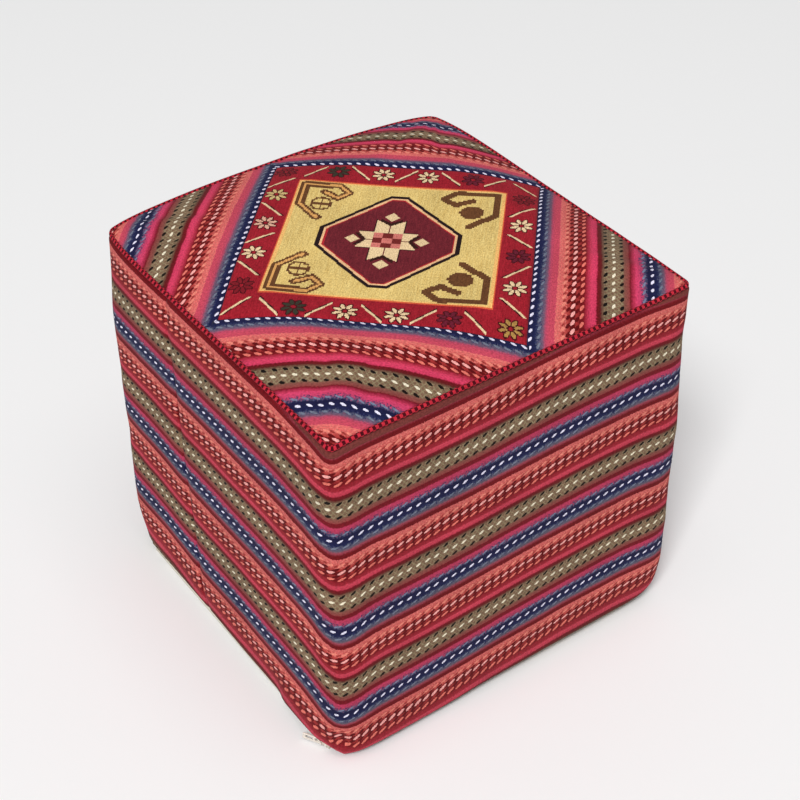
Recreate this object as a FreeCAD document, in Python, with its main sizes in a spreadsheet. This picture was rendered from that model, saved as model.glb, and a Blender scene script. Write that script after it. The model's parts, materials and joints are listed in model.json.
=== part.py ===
"""Kilim pouf: a padded foam cube in a zip-off flat-woven cover.

Millimetres, +Z up. The origin is the middle of the base, on the floor. The left wall faces -X
and holds the zip along its foot, the right wall faces -Y, and the front corner is between them.
"""
import FreeCAD
import Part
import Sketcher
import os
import re

DRIVING_SIZES = [
    # Name, value, what it measures.
    ("pouf_width", "400", "left wall to the wall opposite, outside"),
    ("pouf_depth", "400", "right wall to the wall opposite, outside"),
    ("pouf_height", "400", "floor to the top of the piping"),
    ("corner_round", "26", "radius of the upright edges"),
    ("base_round", "20", "radius of the bottom edges"),
    ("crown_rise", "14.5", "swell of the top above its own edge"),
    ("shoulder_round", "62", "radius of the round shoulders of the swell"),
    ("cover_thickness", "3", "woven cover cloth"),
    ("panel_drop", "1.5", "edge of the top panels below the top of the piping"),
    ("turn_under", "34", "width of side band that turns under the base"),
    ("medallion_reach", "190", "middle of the medallion to its tips"),
    ("band_seam_left", "55", "side band's seam on the left wall, from the middle"),
    ("band_seam_back", "120", "side band's seam on the back wall, from the middle"),
    ("piping_diameter", "7", "finished piping round the top edge"),
    ("piping_cloth", "1.2", "cloth wrapped round the piping cord"),
    ("seam_clearance", "0.15", "between the piping and the cloth sewn to it"),
    ("layer_clearance", "0.1", "between one padding layer and the next"),
    ("tape_clearance", "0.2", "between the zip tape and the inner case"),
    ("case_cloth", "1", "inner case cloth"),
    ("case_round_step", "1.8", "inner case's upright radius less its bottom radius"),
    ("pan_rim", "4", "inner case's base, upright above its round edge"),
    ("wadding_thickness", "10", "wadding round the foam"),
    ("wadding_rim", "6", "top wadding at its edge"),
    ("foam_corner_round", "8", "upright edges of the foam"),
    ("foam_edge_round", "7", "bottom edge of the base foam"),
    ("foam_base_height", "40", "firm foam at the base"),
    ("foam_seat_height", "60", "soft foam under the seat"),
    ("zip_end_margin", "4", "zip's end to the round of the upright edge"),
    ("zip_rise", "6.5", "floor to the middle of the zip"),
    ("lip_height", "11.3", "floor to the folded lip that hides the zip"),
    ("hem_height", "26", "floor to the raw edge of the folded lip"),
    ("tape_thickness", "1", "zip tape"),
    ("tape_width", "11.4", "wall side zip tape beyond its coil"),
    ("tape_foot_lift", "0.6", "floor to the base side zip tape"),
    ("coil_width", "2.4", "one zip coil, across the zip"),
    ("coil_height", "2.2", "one zip coil, through the zip"),
    ("coil_gap", "1.4", "between the two coils"),
    ("stop_length", "1.7", "end stop, along the zip"),
    ("stop_gap", "0.3", "slider to the end stop at either end of its travel"),
    ("pull_parking", "24", "zip tape left past the far stop for the pull"),
    ("slider_length", "12", "slider, along the zip"),
    ("slider_plate", "0.9", "slider's inner and outer plates"),
    ("slider_flange", "0.9", "slider's edge beyond its tunnels"),
    ("slider_round", "1.6", "corners of the slider's plates"),
    ("zip_clearance", "0.3", "slider to coil and slider to tape"),
    ("slider_room", "0.6", "slider to the edge of the base panel"),
    ("bail_length", "8", "slider's bail, along the zip"),
    ("bail_width", "2", "slider's bail, across the zip"),
    ("bail_thickness", "0.9", "metal of the bail"),
    ("bail_opening", "2.6", "under the bail, where the pull's bar turns"),
    ("pull_length", "20", "pull's turning axis to its free end"),
    ("pull_width", "7.6", "pull, across"),
    ("pull_thickness", "1.4", "pull, through, and its round turning bar"),
    ("pull_end_round", "2", "corners at the pull's free end"),
    ("pull_slot_length", "6", "slot that clears the bail"),
    ("pull_slot_width", "3.6", "slot that clears the bail, across"),
    ("pull_window_start", "8.8", "turning axis to the pull's window"),
    ("pull_window_length", "8", "pull's window"),
    ("pull_window_width", "4", "pull's window, across"),
    ("pull_rest_angle", "30", "pull's swing out from the wall at rest, in degrees"),
    ("cut_overrun", "5", "how far a cutting tool runs past what it cuts"),
]

doc = FreeCAD.newDocument("KilimPouf")
sizes = doc.addObject("Spreadsheet::Sheet", "Sizes")
for row, (alias, value, meaning) in enumerate(DRIVING_SIZES, start=1):
    sizes.set(f"A{row}", meaning)
    sizes.set(f"B{row}", value)
    sizes.setAlias(f"B{row}", alias)
doc.recompute()

# Places and sizes that follow from the driving sizes.
HALF_WIDTH = "(pouf_width / 2)"
HALF_DEPTH = "(pouf_depth / 2)"
BASE_ROUND = "min(base_round; corner_round - cover_thickness)"
BAND_TOP = "(pouf_height - piping_diameter - seam_clearance)"
PIPING_INSET = "(piping_diameter / 2)"
PIPING_LEVEL = "(pouf_height - piping_diameter / 2)"
PIPING_BEND = "(corner_round - piping_diameter / 2)"
PANEL_INSET = "(piping_diameter + seam_clearance)"
PANEL_FLOOR = "(pouf_height - piping_diameter - cover_thickness)"
PANEL_EDGE = "(pouf_height - panel_drop)"
SHOULDER_REACH = "sqrt(2 * shoulder_round * crown_rise - crown_rise ^ 2)"
CASE_INSET = "(2 * cover_thickness + tape_thickness + tape_clearance)"
CASE_CORNER = f"(corner_round - {CASE_INSET})"
CASE_BASE_ROUND = f"({CASE_CORNER} - case_round_step)"
PAN_TOP = f"(cover_thickness + {CASE_BASE_ROUND} + pan_rim)"
CASE_OFFSET = "(cover_thickness + layer_clearance)"
WADDING_INSET = f"({CASE_INSET} + case_cloth + layer_clearance)"
WADDING_OFFSET = f"({CASE_OFFSET} + case_cloth + layer_clearance)"
FOAM_INSET = f"({WADDING_INSET} + wadding_thickness + layer_clearance)"
FOAM_FLOOR = "(cover_thickness + case_cloth)"
SEAT_TOP = f"({PANEL_EDGE} - {WADDING_OFFSET} - wadding_rim)"
ZIP_PLANE = f"(2 * cover_thickness + tape_thickness / 2 - {HALF_WIDTH})"
ZIP_HALF = f"({HALF_DEPTH} - corner_round - zip_end_margin)"
CHAIN_HALF = "(coil_gap / 2 + coil_width)"
CHAIN_START = f"(stop_length - {ZIP_HALF})"
CHAIN_END = f"({ZIP_HALF} - pull_parking - stop_length)"
SLIDER_THICKNESS = "(coil_height + 2 * zip_clearance + 2 * slider_plate)"
SLIDER_WIDTH = f"(2 * {CHAIN_HALF} + 2 * zip_clearance + 2 * slider_flange)"
SLIDER_START = f"({CHAIN_START} + stop_gap + slider_length / 2)"
BASE_PANEL_EDGE = f"({ZIP_PLANE} + {SLIDER_THICKNESS} / 2 + slider_room)"
PULL_PIVOT = f"({ZIP_PLANE} - {SLIDER_THICKNESS} / 2 - bail_opening / 2)"

ALIASES = {alias for alias, value, meaning in DRIVING_SIZES}
TOUCH = 1e-6


def bind(item, prop, formula):
    """Tie one property of an object to a formula in the names of the driving sizes."""
    def cell(match):
        return f"Sizes.{match[0]}" if match[0] in ALIASES else match[0]
    item.setExpression(prop, re.sub(r"[a-z_]+", cell, formula))


def place(item, x="0", y="0", z="0"):
    """Tie an object's position to three formulas."""
    for axis, formula in zip("xyz", (x, y, z)):
        bind(item, f"Placement.Base.{axis}", formula)


def box(name, x, y, z):
    """A plain box between two formulas along each axis."""
    block = doc.addObject("Part::Box", name)
    for side, (low, high) in zip(("Length", "Width", "Height"), (x, y, z)):
        bind(block, side, f"({high}) - ({low})")
    place(block, x[0], y[0], z[0])
    return block


def combine(kind, name, *shapes):
    """Part::MultiFuse, Part::MultiCommon or Part::Compound of several objects."""
    result = doc.addObject(kind, name)
    if kind == "Part::Compound":
        result.Links = list(shapes)
    else:
        result.Shapes = list(shapes)
    return result


def cut(name, base, tool):
    """What is left of one object after another is taken away."""
    result = doc.addObject("Part::Cut", name)
    result.Base = base
    result.Tool = tool
    return result


def plane_of(body, role):
    """One of a body's own origin planes."""
    return next(item for item in body.Origin.OriginFeatures if item.Role == role)


def centred_rectangle(body, name, role, length, width):
    """A rectangle about the middle of one origin plane, with both sides tied to formulas."""
    sketch = body.newObject("Sketcher::SketchObject", name)
    sketch.AttachmentSupport = (plane_of(body, role), [""])
    sketch.MapMode = "FlatFace"
    corners = [FreeCAD.Vector(x, y, 0) for x, y in ((-1, -1), (1, -1), (1, 1), (-1, 1))]
    for start, end in zip(corners, corners[1:] + corners[:1]):
        sketch.addGeometry(Part.LineSegment(start, end), False)
    for line in range(4):
        sketch.addConstraint(Sketcher.Constraint("Coincident", line, 2, (line + 1) % 4, 1))
    for line, direction in enumerate(("Horizontal", "Vertical", "Horizontal", "Vertical")):
        sketch.addConstraint(Sketcher.Constraint(direction, line))
    sketch.addConstraint(Sketcher.Constraint("Symmetric", 0, 1, 1, 2, -1, 1))
    across = sketch.addConstraint(Sketcher.Constraint("DistanceX", 0, 1, 0, 2, 2.0))
    along = sketch.addConstraint(Sketcher.Constraint("DistanceY", 1, 1, 1, 2, 2.0))
    bind(sketch, f"Constraints[{across}]", length)
    bind(sketch, f"Constraints[{along}]", width)
    return sketch


def centred_circle(body, name, role, diameter):
    """A circle about the middle of one origin plane, with its diameter tied to a formula."""
    sketch = body.newObject("Sketcher::SketchObject", name)
    sketch.AttachmentSupport = (plane_of(body, role), [""])
    sketch.MapMode = "FlatFace"
    sketch.addGeometry(Part.Circle(FreeCAD.Vector(), FreeCAD.Vector(0, 0, 1), 1), False)
    sketch.addConstraint(Sketcher.Constraint("Coincident", 0, 3, -1, 1))
    across = sketch.addConstraint(Sketcher.Constraint("Diameter", 0, 2.0))
    bind(sketch, f"Constraints[{across}]", diameter)
    return sketch


def edge_names(shape, wanted):
    """Names of the edges of a shape whose bounding box passes a test."""
    return [f"Edge{i}" for i, edge in enumerate(shape.Edges, start=1) if wanted(edge.BoundBox)]


def round_edges(body, name, base, wanted, radius):
    """Round the chosen edges of a body's last feature."""
    doc.recompute()
    fillet = body.newObject("PartDesign::Fillet", name)
    fillet.Base = (base, edge_names(base.Shape, wanted))
    bind(fillet, "Radius", radius)
    return fillet


def symmetric_pad(body, name, sketch, length):
    """A pad that grows the same way to both sides of its sketch."""
    pad = body.newObject("PartDesign::Pad", name)
    pad.Profile = sketch
    pad.SideType = "Symmetric"
    bind(pad, "Length", length)
    return pad


def upright(bounds):
    return bounds.XLength < TOUCH and bounds.YLength < TOUCH


def rounded_block(name, inset, corner, low, high, bottom_round=None):
    """A block set in from the walls, with round upright edges and, if asked, a round bottom."""
    body = doc.addObject("PartDesign::Body", name)
    length = f"pouf_width - 2 * {inset}"
    width = f"pouf_depth - 2 * {inset}"
    outline = centred_rectangle(body, f"{name}Outline", "XY_Plane", length, width)
    bind(outline, "AttachmentOffset.Base.z", low)
    pad = body.newObject("PartDesign::Pad", f"{name}Pad")
    pad.Profile = outline
    bind(pad, "Length", f"({high}) - ({low})")
    corners = round_edges(body, f"{name}Corners", pad, upright, corner)
    if bottom_round:
        doc.recompute()
        floor = corners.Shape.BoundBox.ZMin
        round_edges(body, f"{name}Bottom", corners, lambda b: b.ZMax - floor < TOUCH, bottom_round)
    return body


def vault(name, offset):
    """The swell of the top: two crossed blocks whose round shoulders spring from the panels' edges."""
    blocks = []
    top = f"({PANEL_EDGE} + crown_rise - {offset})"
    spans = (("XZ_Plane", "XLength", HALF_WIDTH, HALF_DEPTH),
             ("YZ_Plane", "YLength", HALF_DEPTH, HALF_WIDTH))
    for role, across, half_span, half_run in spans:
        block = doc.addObject("PartDesign::Body", f"{name}Block")
        half_width = f"({half_span} - {PANEL_INSET} - {SHOULDER_REACH} + shoulder_round - {offset})"
        section = centred_rectangle(block, f"{name}Section", role, f"2 * {half_width}",
                                    f"{top} + cut_overrun")
        bind(section, "AttachmentOffset.Base.y", f"({top} - cut_overrun) / 2")
        pad = symmetric_pad(block, f"{name}Pad", section, f"2 * ({half_run} + cut_overrun)")
        doc.recompute()
        middle = pad.Shape.CenterOfMass.z
        round_edges(block, f"{name}Shoulders", pad,
                    lambda b: b.ZMin > middle and getattr(b, across) < TOUCH, f"shoulder_round - {offset}")
        blocks.append(block)
    return combine("Part::MultiCommon", name, *blocks)


def piping_ring(name, diameter):
    """A round cord bent round the top edge: four straight runs and four quarter bends."""
    pieces = []
    straight_x = f"({HALF_WIDTH} - corner_round)"
    straight_y = f"({HALF_DEPTH} - corner_round)"
    runs = (("x", straight_x, f"{HALF_DEPTH} - {PIPING_INSET}", (0, 1, 0), 90),
            ("y", straight_y, f"{HALF_WIDTH} - {PIPING_INSET}", (1, 0, 0), -90))
    for axis, half_run, aside, turn_axis, turn in runs:
        for side in (-1, 1):
            run = doc.addObject("Part::Cylinder", f"{name}Run")
            bind(run, "Radius", f"{diameter} / 2")
            bind(run, "Height", f"2 * {half_run}")
            rotation = FreeCAD.Rotation(FreeCAD.Vector(turn_axis), turn)
            run.Placement = FreeCAD.Placement(FreeCAD.Vector(), rotation)
            if axis == "x":
                place(run, f"-{half_run}", f"{side} * ({aside})", PIPING_LEVEL)
            else:
                place(run, f"{side} * ({aside})", f"-{half_run}", PIPING_LEVEL)
            pieces.append(run)
    for quarter, (x_side, y_side) in enumerate(((1, 1), (-1, 1), (-1, -1), (1, -1))):
        bend = doc.addObject("Part::Torus", f"{name}Bend")
        bend.Angle3 = 90
        rotation = FreeCAD.Rotation(FreeCAD.Vector(0, 0, 1), 90 * quarter)
        bend.Placement = FreeCAD.Placement(FreeCAD.Vector(), rotation)
        bind(bend, "Radius1", PIPING_BEND)
        bind(bend, "Radius2", f"{diameter} / 2")
        place(bend, f"{x_side} * {straight_x}", f"{y_side} * {straight_y}", PIPING_LEVEL)
        pieces.append(bend)
    return combine("Part::MultiFuse", name, *pieces)


def top_panels():
    """The medallion and the four striped corner panels, cut from one swelling shell."""
    outline = rounded_block("TopOutline", PANEL_INSET, f"corner_round - {PANEL_INSET}", PANEL_FLOOR,
                            f"{PANEL_EDGE} + crown_rise + cut_overrun")
    outside = combine("Part::MultiCommon", "TopOutside", vault("TopVault", "0"), outline)
    shell = cut("TopShell", outside, vault("TopHollow", "cover_thickness"))
    diamond = doc.addObject("Part::Box", "MedallionOutline")
    diamond.Placement.Rotation = FreeCAD.Rotation(FreeCAD.Vector(0, 0, 1), 45)
    for side in ("Length", "Width"):
        bind(diamond, side, "medallion_reach * sqrt(2)")
    bind(diamond, "Height", f"{PANEL_EDGE} + crown_rise + cut_overrun - {PANEL_FLOOR}")
    place(diamond, y="-medallion_reach", z=PANEL_FLOOR)
    medallion = combine("Part::MultiCommon", "Medallion", shell, diamond)
    frame = cut("TopFrame", shell, diamond)
    panels = {"medallion_panel": medallion}
    quarters = {"front": (-1, -1), "right": (1, -1), "back": (1, 1), "left": (-1, 1)}
    for corner, (x_side, y_side) in quarters.items():
        x_span = ("0", f"{HALF_WIDTH}") if x_side > 0 else (f"-{HALF_WIDTH}", "0")
        y_span = ("0", f"{HALF_DEPTH}") if y_side > 0 else (f"-{HALF_DEPTH}", "0")
        z_span = (PANEL_FLOOR, f"{PANEL_EDGE} + crown_rise + cut_overrun")
        quarter = box(f"Quarter{corner}", x_span, y_span, z_span)
        panels[f"corner_panel_{corner}"] = combine("Part::MultiCommon", f"Corner{corner}", frame, quarter)
    return panels


def piping():
    """The cloth tube round the top edge, and the cotton cord that fills it."""
    bore = "(piping_diameter - 2 * piping_cloth)"
    tube = cut("Piping", piping_ring("PipingOutside", "piping_diameter"), piping_ring("PipingBore", bore))
    cord = piping_ring("PipingCord", f"({bore} - 2 * layer_clearance)")
    return {"top_piping": tube, "piping_cord": cord}


def side_bands():
    """The wall cloth, turned under the base, with a folded lip over the zip, in two lengths."""
    outside = rounded_block("BandOutside", "0", "corner_round", "0", BAND_TOP, BASE_ROUND)
    hollow = rounded_block("BandHollow", "cover_thickness", "corner_round - cover_thickness",
                           "cover_thickness", f"{BAND_TOP} + cut_overrun",
                           f"{BASE_ROUND} - cover_thickness")
    under = ("-cut_overrun", "cover_thickness + cut_overrun")
    opening = box("BandOpening", (f"turn_under - {HALF_WIDTH}", f"{HALF_WIDTH} - turn_under"),
                  (f"turn_under - {HALF_DEPTH}", f"{HALF_DEPTH} - turn_under"), under)
    zip_run = (f"-{ZIP_HALF}", ZIP_HALF)
    mouth = box("ZipMouth", (f"-{HALF_WIDTH} - cut_overrun", f"turn_under - {HALF_WIDTH}"), zip_run,
                ("-cut_overrun", "lip_height"))
    hem = box("LipHem", (f"cover_thickness - {HALF_WIDTH}", f"2 * cover_thickness - {HALF_WIDTH}"), zip_run,
              ("lip_height", "hem_height"))
    shell = cut("BandShell", outside, combine("Part::MultiFuse", "BandCuts", hollow, opening, mouth))
    band = combine("Part::MultiFuse", "Band", shell, hem)
    region = box("ShortBandRegion", (f"-{HALF_WIDTH} - cut_overrun", "-band_seam_back"),
                 ("band_seam_left", f"{HALF_DEPTH} + cut_overrun"),
                 ("-cut_overrun", f"{BAND_TOP} + cut_overrun"))
    return {"side_band_long": cut("BandLong", band, region),
            "side_band_short": combine("Part::MultiCommon", "BandShort", band, region)}


def base_panel():
    """The plain cloth under the pouf, with a tongue that reaches the zip."""
    thick = ("0", "cover_thickness")
    middle = box("BaseMiddle", (f"turn_under - {HALF_WIDTH}", f"{HALF_WIDTH} - turn_under"),
                 (f"turn_under - {HALF_DEPTH}", f"{HALF_DEPTH} - turn_under"), thick)
    tongue = box("BaseTongue", (BASE_PANEL_EDGE, f"turn_under - {HALF_WIDTH}"),
                 (f"-{ZIP_HALF}", ZIP_HALF), thick)
    return {"base_panel": combine("Part::MultiFuse", "BasePanel", middle, tongue)}


def zip_chain():
    """The two tapes and coils that stay on the cover, and the stop at each end of the coils."""
    tape = (f"{ZIP_PLANE} - tape_thickness / 2", f"{ZIP_PLANE} + tape_thickness / 2")
    coil = (f"{ZIP_PLANE} - coil_height / 2", f"{ZIP_PLANE} + coil_height / 2")
    run = (f"-{ZIP_HALF}", ZIP_HALF)
    chain = (CHAIN_START, CHAIN_END)
    wall_tape = box("TapeWall", tape, run,
                    (f"zip_rise + {CHAIN_HALF}", f"zip_rise + {CHAIN_HALF} + tape_width"))
    leg = box("TapeBaseLeg", tape, run, ("tape_foot_lift", f"zip_rise - {CHAIN_HALF}"))
    foot = box("TapeBaseFoot", (tape[0], BASE_PANEL_EDGE), run,
               ("tape_foot_lift", "tape_foot_lift + tape_thickness"))
    base_tape = combine("Part::MultiFuse", "TapeBase", leg, foot)
    wall_coil = box("CoilWall", coil, chain, ("zip_rise + coil_gap / 2", f"zip_rise + {CHAIN_HALF}"))
    base_coil = box("CoilBase", coil, chain, (f"zip_rise - {CHAIN_HALF}", "zip_rise - coil_gap / 2"))
    across = (f"zip_rise - {CHAIN_HALF}", f"zip_rise + {CHAIN_HALF}")
    near_stop = box("StopNear", coil, (f"-{ZIP_HALF}", CHAIN_START), across)
    far_stop = box("StopFar", coil, (CHAIN_END, f"{CHAIN_END} + stop_length"), across)
    stops = combine("Part::Compound", "Stops", near_stop, far_stop)
    return {"zip_tape_wall": wall_tape, "zip_tape_base": base_tape, "zip_coil_wall": wall_coil,
            "zip_coil_base": base_coil, "zip_end_stops": stops}


def through_pocket(body, name, sketch, length):
    """A pocket that runs the same way to both sides of its sketch."""
    pocket = body.newObject("PartDesign::Pocket", name)
    pocket.Profile = sketch
    pocket.SideType = "Symmetric"
    bind(pocket, "Length", length)
    return pocket


def zip_slider():
    """Two plates round the coils, joined by a thin divider, with a bail for the pull."""
    body = doc.addObject("PartDesign::Body", "Slider")
    section = centred_rectangle(body, "SliderSection", "XZ_Plane", SLIDER_THICKNESS, SLIDER_WIDTH)
    block = symmetric_pad(body, "SliderBlock", section, "slider_length")
    round_edges(body, "SliderCorners", block,
                lambda b: b.YLength < TOUCH and b.ZLength < TOUCH, "slider_round")
    for side, sign in (("Wall", ""), ("Base", "-")):
        tunnel = centred_rectangle(body, f"Tunnel{side}", "XZ_Plane", "coil_height + 2 * zip_clearance",
                                   "coil_width + 2 * zip_clearance")
        bind(tunnel, "AttachmentOffset.Base.y", f"{sign}((coil_gap + coil_width) / 2)")
        through_pocket(body, f"Tunnel{side}Cut", tunnel, "slider_length + cut_overrun")
        slot = centred_rectangle(body, f"TapeSlot{side}", "XZ_Plane", "tape_thickness + 2 * zip_clearance",
                                 "2 * slider_flange + zip_clearance")
        bind(slot, "AttachmentOffset.Base.y", f"{sign}({CHAIN_HALF} + slider_flange + zip_clearance / 2)")
        through_pocket(body, f"TapeSlot{side}Cut", slot, "slider_length + cut_overrun")
    bail_reach = "(bail_opening + bail_thickness)"
    bail = centred_rectangle(body, "BailOutline", "XY_Plane", bail_reach, "bail_length")
    bind(bail, "AttachmentOffset.Base.x", f"-({SLIDER_THICKNESS} + {bail_reach}) / 2")
    symmetric_pad(body, "BailArch", bail, "bail_width")
    gap = centred_rectangle(body, "BailGap", "XY_Plane", "bail_opening", "bail_length - 2 * bail_thickness")
    bind(gap, "AttachmentOffset.Base.x", f"-({SLIDER_THICKNESS} + bail_opening) / 2")
    through_pocket(body, "BailGapCut", gap, "bail_width + cut_overrun")
    place(body, ZIP_PLANE, SLIDER_START, "zip_rise")
    return {"zip_slider": body}


def zip_pull():
    """A flat tab with a round bar that turns under the bail, a slot that clears it, and a window."""
    body = doc.addObject("PartDesign::Body", "Pull")
    tab = centred_rectangle(body, "PullOutline", "YZ_Plane", "pull_length", "pull_width")
    bind(tab, "AttachmentOffset.Base.x", "pull_length / 2")
    plate = symmetric_pad(body, "PullPlate", tab, "pull_thickness")
    doc.recompute()
    middle = plate.Shape.CenterOfMass.y
    round_edges(body, "PullEnd", plate,
                lambda b: b.YLength < TOUCH and b.ZLength < TOUCH and b.YMin > middle, "pull_end_round")
    slot_end = "(pull_thickness / 2 + pull_slot_length)"
    slot = centred_rectangle(body, "PullSlot", "YZ_Plane", f"{slot_end} + cut_overrun", "pull_slot_width")
    bind(slot, "AttachmentOffset.Base.x", f"({slot_end} - cut_overrun) / 2")
    through_pocket(body, "PullSlotCut", slot, "pull_thickness + cut_overrun")
    window = centred_rectangle(body, "PullWindow", "YZ_Plane", "pull_window_length", "pull_window_width")
    bind(window, "AttachmentOffset.Base.x", "pull_window_start + pull_window_length / 2")
    through_pocket(body, "PullWindowCut", window, "pull_thickness + cut_overrun")
    bar = centred_circle(body, "PullBarSection", "XY_Plane", "pull_thickness")
    symmetric_pad(body, "PullBar", bar, "pull_width")
    body.Placement.Rotation = FreeCAD.Rotation(FreeCAD.Vector(0, 0, 1), 1)
    bind(body, "Placement.Rotation.Angle", "pull_rest_angle * 1 deg")
    place(body, PULL_PIVOT, SLIDER_START, "zip_rise")
    return {"zip_pull": body}


def inner_case():
    """The plain cotton case inside the cover: a pan with a round edge, a wall and a swelling top."""
    pan = cut("CasePan",
              rounded_block("CasePanOutside", CASE_INSET, CASE_CORNER, "cover_thickness", PAN_TOP,
                            CASE_BASE_ROUND),
              rounded_block("CasePanHollow", f"({CASE_INSET} + case_cloth)", f"{CASE_CORNER} - case_cloth",
                            FOAM_FLOOR, f"{PAN_TOP} + cut_overrun", f"{CASE_BASE_ROUND} - case_cloth"))
    ceiling = f"{PANEL_EDGE} + crown_rise"
    wall_ring = cut("CaseRing",
                    rounded_block("CaseWallOutside", CASE_INSET, CASE_CORNER, PAN_TOP, ceiling),
                    rounded_block("CaseWallHollow", f"({CASE_INSET} + case_cloth)",
                                  f"{CASE_CORNER} - case_cloth", f"{PAN_TOP} - cut_overrun",
                                  f"{ceiling} + cut_overrun"))
    wall = combine("Part::MultiCommon", "CaseWall", wall_ring, vault("CaseWallTrim", WADDING_OFFSET))
    lid_outline = rounded_block("CaseLidOutline", CASE_INSET, CASE_CORNER, PANEL_FLOOR, ceiling)
    lid_block = combine("Part::MultiCommon", "CaseLidBlock", vault("CaseLidVault", CASE_OFFSET),
                        lid_outline)
    lid = cut("CaseLid", lid_block, vault("CaseLidHollow", f"({CASE_OFFSET} + case_cloth)"))
    return {"inner_case_base": pan, "inner_case_wall": wall, "inner_case_top": lid}


def padding():
    """Wadding over a stack of three foam blocks."""
    foam_corner = "foam_corner_round"
    core_floor = f"{FOAM_FLOOR} + foam_base_height"
    core_top = f"{SEAT_TOP} - foam_seat_height"
    wadding_corner = f"{CASE_CORNER} - case_cloth - layer_clearance"
    sleeve = cut("WaddingSleeve",
                 rounded_block("SleeveOutside", WADDING_INSET, wadding_corner, PAN_TOP, SEAT_TOP),
                 rounded_block("SleeveHollow", f"({FOAM_INSET} - layer_clearance)",
                               "foam_corner_round + layer_clearance", f"{PAN_TOP} - cut_overrun",
                               f"{SEAT_TOP} + cut_overrun"))
    cap_outline = rounded_block("WaddingCapOutline", WADDING_INSET, wadding_corner, SEAT_TOP,
                                f"{PANEL_EDGE} + crown_rise")
    cap = combine("Part::MultiCommon", "WaddingCap", vault("WaddingCapVault", WADDING_OFFSET), cap_outline)
    base = rounded_block("FoamBase", FOAM_INSET, foam_corner, FOAM_FLOOR, core_floor, "foam_edge_round")
    core = rounded_block("FoamCore", FOAM_INSET, foam_corner, core_floor, core_top)
    seat = rounded_block("FoamSeat", FOAM_INSET, foam_corner, core_top, SEAT_TOP)
    return {"wadding_wall": sleeve, "wadding_top": cap, "foam_base_pad": base, "foam_core": core,
            "foam_seat_pad": seat}


pieces = {}
for make in (top_panels, piping, side_bands, base_panel, zip_chain, zip_slider, zip_pull, inner_case,
             padding):
    pieces.update(make())
for label, piece in pieces.items():
    piece.Label = label
doc.recompute()

faults = [item.Name for item in doc.Objects if {"Invalid", "Error"} & set(item.State)]
faults += [label for label, piece in pieces.items() if piece.Shape.isNull() or not piece.Shape.isValid()]
if faults:
    raise RuntimeError(f"failed to build: {', '.join(faults)}")

os.makedirs("parts", exist_ok=True)
for label, piece in pieces.items():
    piece.Shape.exportStep(f"parts/{label}.step")
    print(f"{label}: {len(piece.Shape.Solids)} solid, {piece.Shape.Volume / 1000:.2f} cm3")
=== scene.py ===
# %% [markdown]
# # A kilim pouf
# A pouf is a padded cube to sit on or to rest the feet on. This one has a zip-off cover of flat-woven wool:
# a square medallion on top, four striped corners round it, checked piping along the edge and striped walls.
# The frame holds the engineered solids. Each step below dresses some of them, and all keep their places.

# %% Load the frame
import bmesh
import bpy
import json
from functools import partialmethod
from math import atan2, ceil, cos, exp, pi, radians, sin, sqrt
from mathutils import Matrix, Vector, noise


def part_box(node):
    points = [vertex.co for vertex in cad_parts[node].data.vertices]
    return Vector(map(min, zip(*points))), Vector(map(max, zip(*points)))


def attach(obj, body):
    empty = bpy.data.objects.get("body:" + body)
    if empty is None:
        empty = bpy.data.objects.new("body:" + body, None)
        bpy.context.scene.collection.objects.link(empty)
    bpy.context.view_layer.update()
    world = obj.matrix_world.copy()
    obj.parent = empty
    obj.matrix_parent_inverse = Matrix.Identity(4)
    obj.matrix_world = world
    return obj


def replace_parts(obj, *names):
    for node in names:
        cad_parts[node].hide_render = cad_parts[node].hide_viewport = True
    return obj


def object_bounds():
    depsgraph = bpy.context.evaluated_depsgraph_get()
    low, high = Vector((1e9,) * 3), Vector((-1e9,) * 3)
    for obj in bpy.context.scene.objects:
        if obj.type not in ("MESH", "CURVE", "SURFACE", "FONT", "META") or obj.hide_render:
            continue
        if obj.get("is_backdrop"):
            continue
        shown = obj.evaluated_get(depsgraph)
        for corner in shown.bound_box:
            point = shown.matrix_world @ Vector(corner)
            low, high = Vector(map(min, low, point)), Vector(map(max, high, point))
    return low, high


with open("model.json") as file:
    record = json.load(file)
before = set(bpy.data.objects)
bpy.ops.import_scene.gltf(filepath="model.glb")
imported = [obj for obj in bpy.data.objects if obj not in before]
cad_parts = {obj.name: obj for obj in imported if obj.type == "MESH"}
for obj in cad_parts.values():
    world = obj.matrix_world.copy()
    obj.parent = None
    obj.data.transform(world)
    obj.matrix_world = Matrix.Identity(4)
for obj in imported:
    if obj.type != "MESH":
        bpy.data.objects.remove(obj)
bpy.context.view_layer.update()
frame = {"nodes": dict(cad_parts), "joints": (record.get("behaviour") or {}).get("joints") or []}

MM = 0.001
scene = bpy.context.scene
nodes = frame["nodes"]

# %% [markdown]
# ## Sizes of the cover
# The outline of the walls, the level of the piping and the edge of the top are read from the frame, so the
# cloth fits the solids. The radius of the upright edges can't be read from a box. It is written here, and
# it is tighter than on the solids, as drawn cloth is.

# %% Read the sizes of the cover
UNDER_PIPING = 2.7 * MM
CORNER_ROUND = 9 * MM
HALF = -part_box("side_band_long")[0].x
BAND_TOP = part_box("side_band_long")[1].z
EDGE = -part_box("corner_panel_front")[0].x + UNDER_PIPING
PIPING_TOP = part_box("top_piping")[1].z
STRAIGHT = HALF - CORNER_ROUND
BEND = CORNER_ROUND * pi / 2
ROUND_TRIP = 8 * STRAIGHT + 4 * BEND
print("half width", HALF, "band top", BAND_TOP, "panel edge", EDGE, "round trip", ROUND_TRIP)

# %% [markdown]
# ## Sums on sockets
# A woven pattern is arithmetic on two directions of the cloth. Hundreds of Math nodes linked one by one
# would be hard to read, so a small class wraps a socket, and each sum that is written on it adds its node.
# Masks are 0 or 1: `&` keeps what is in both and `|` what is in either.

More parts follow.
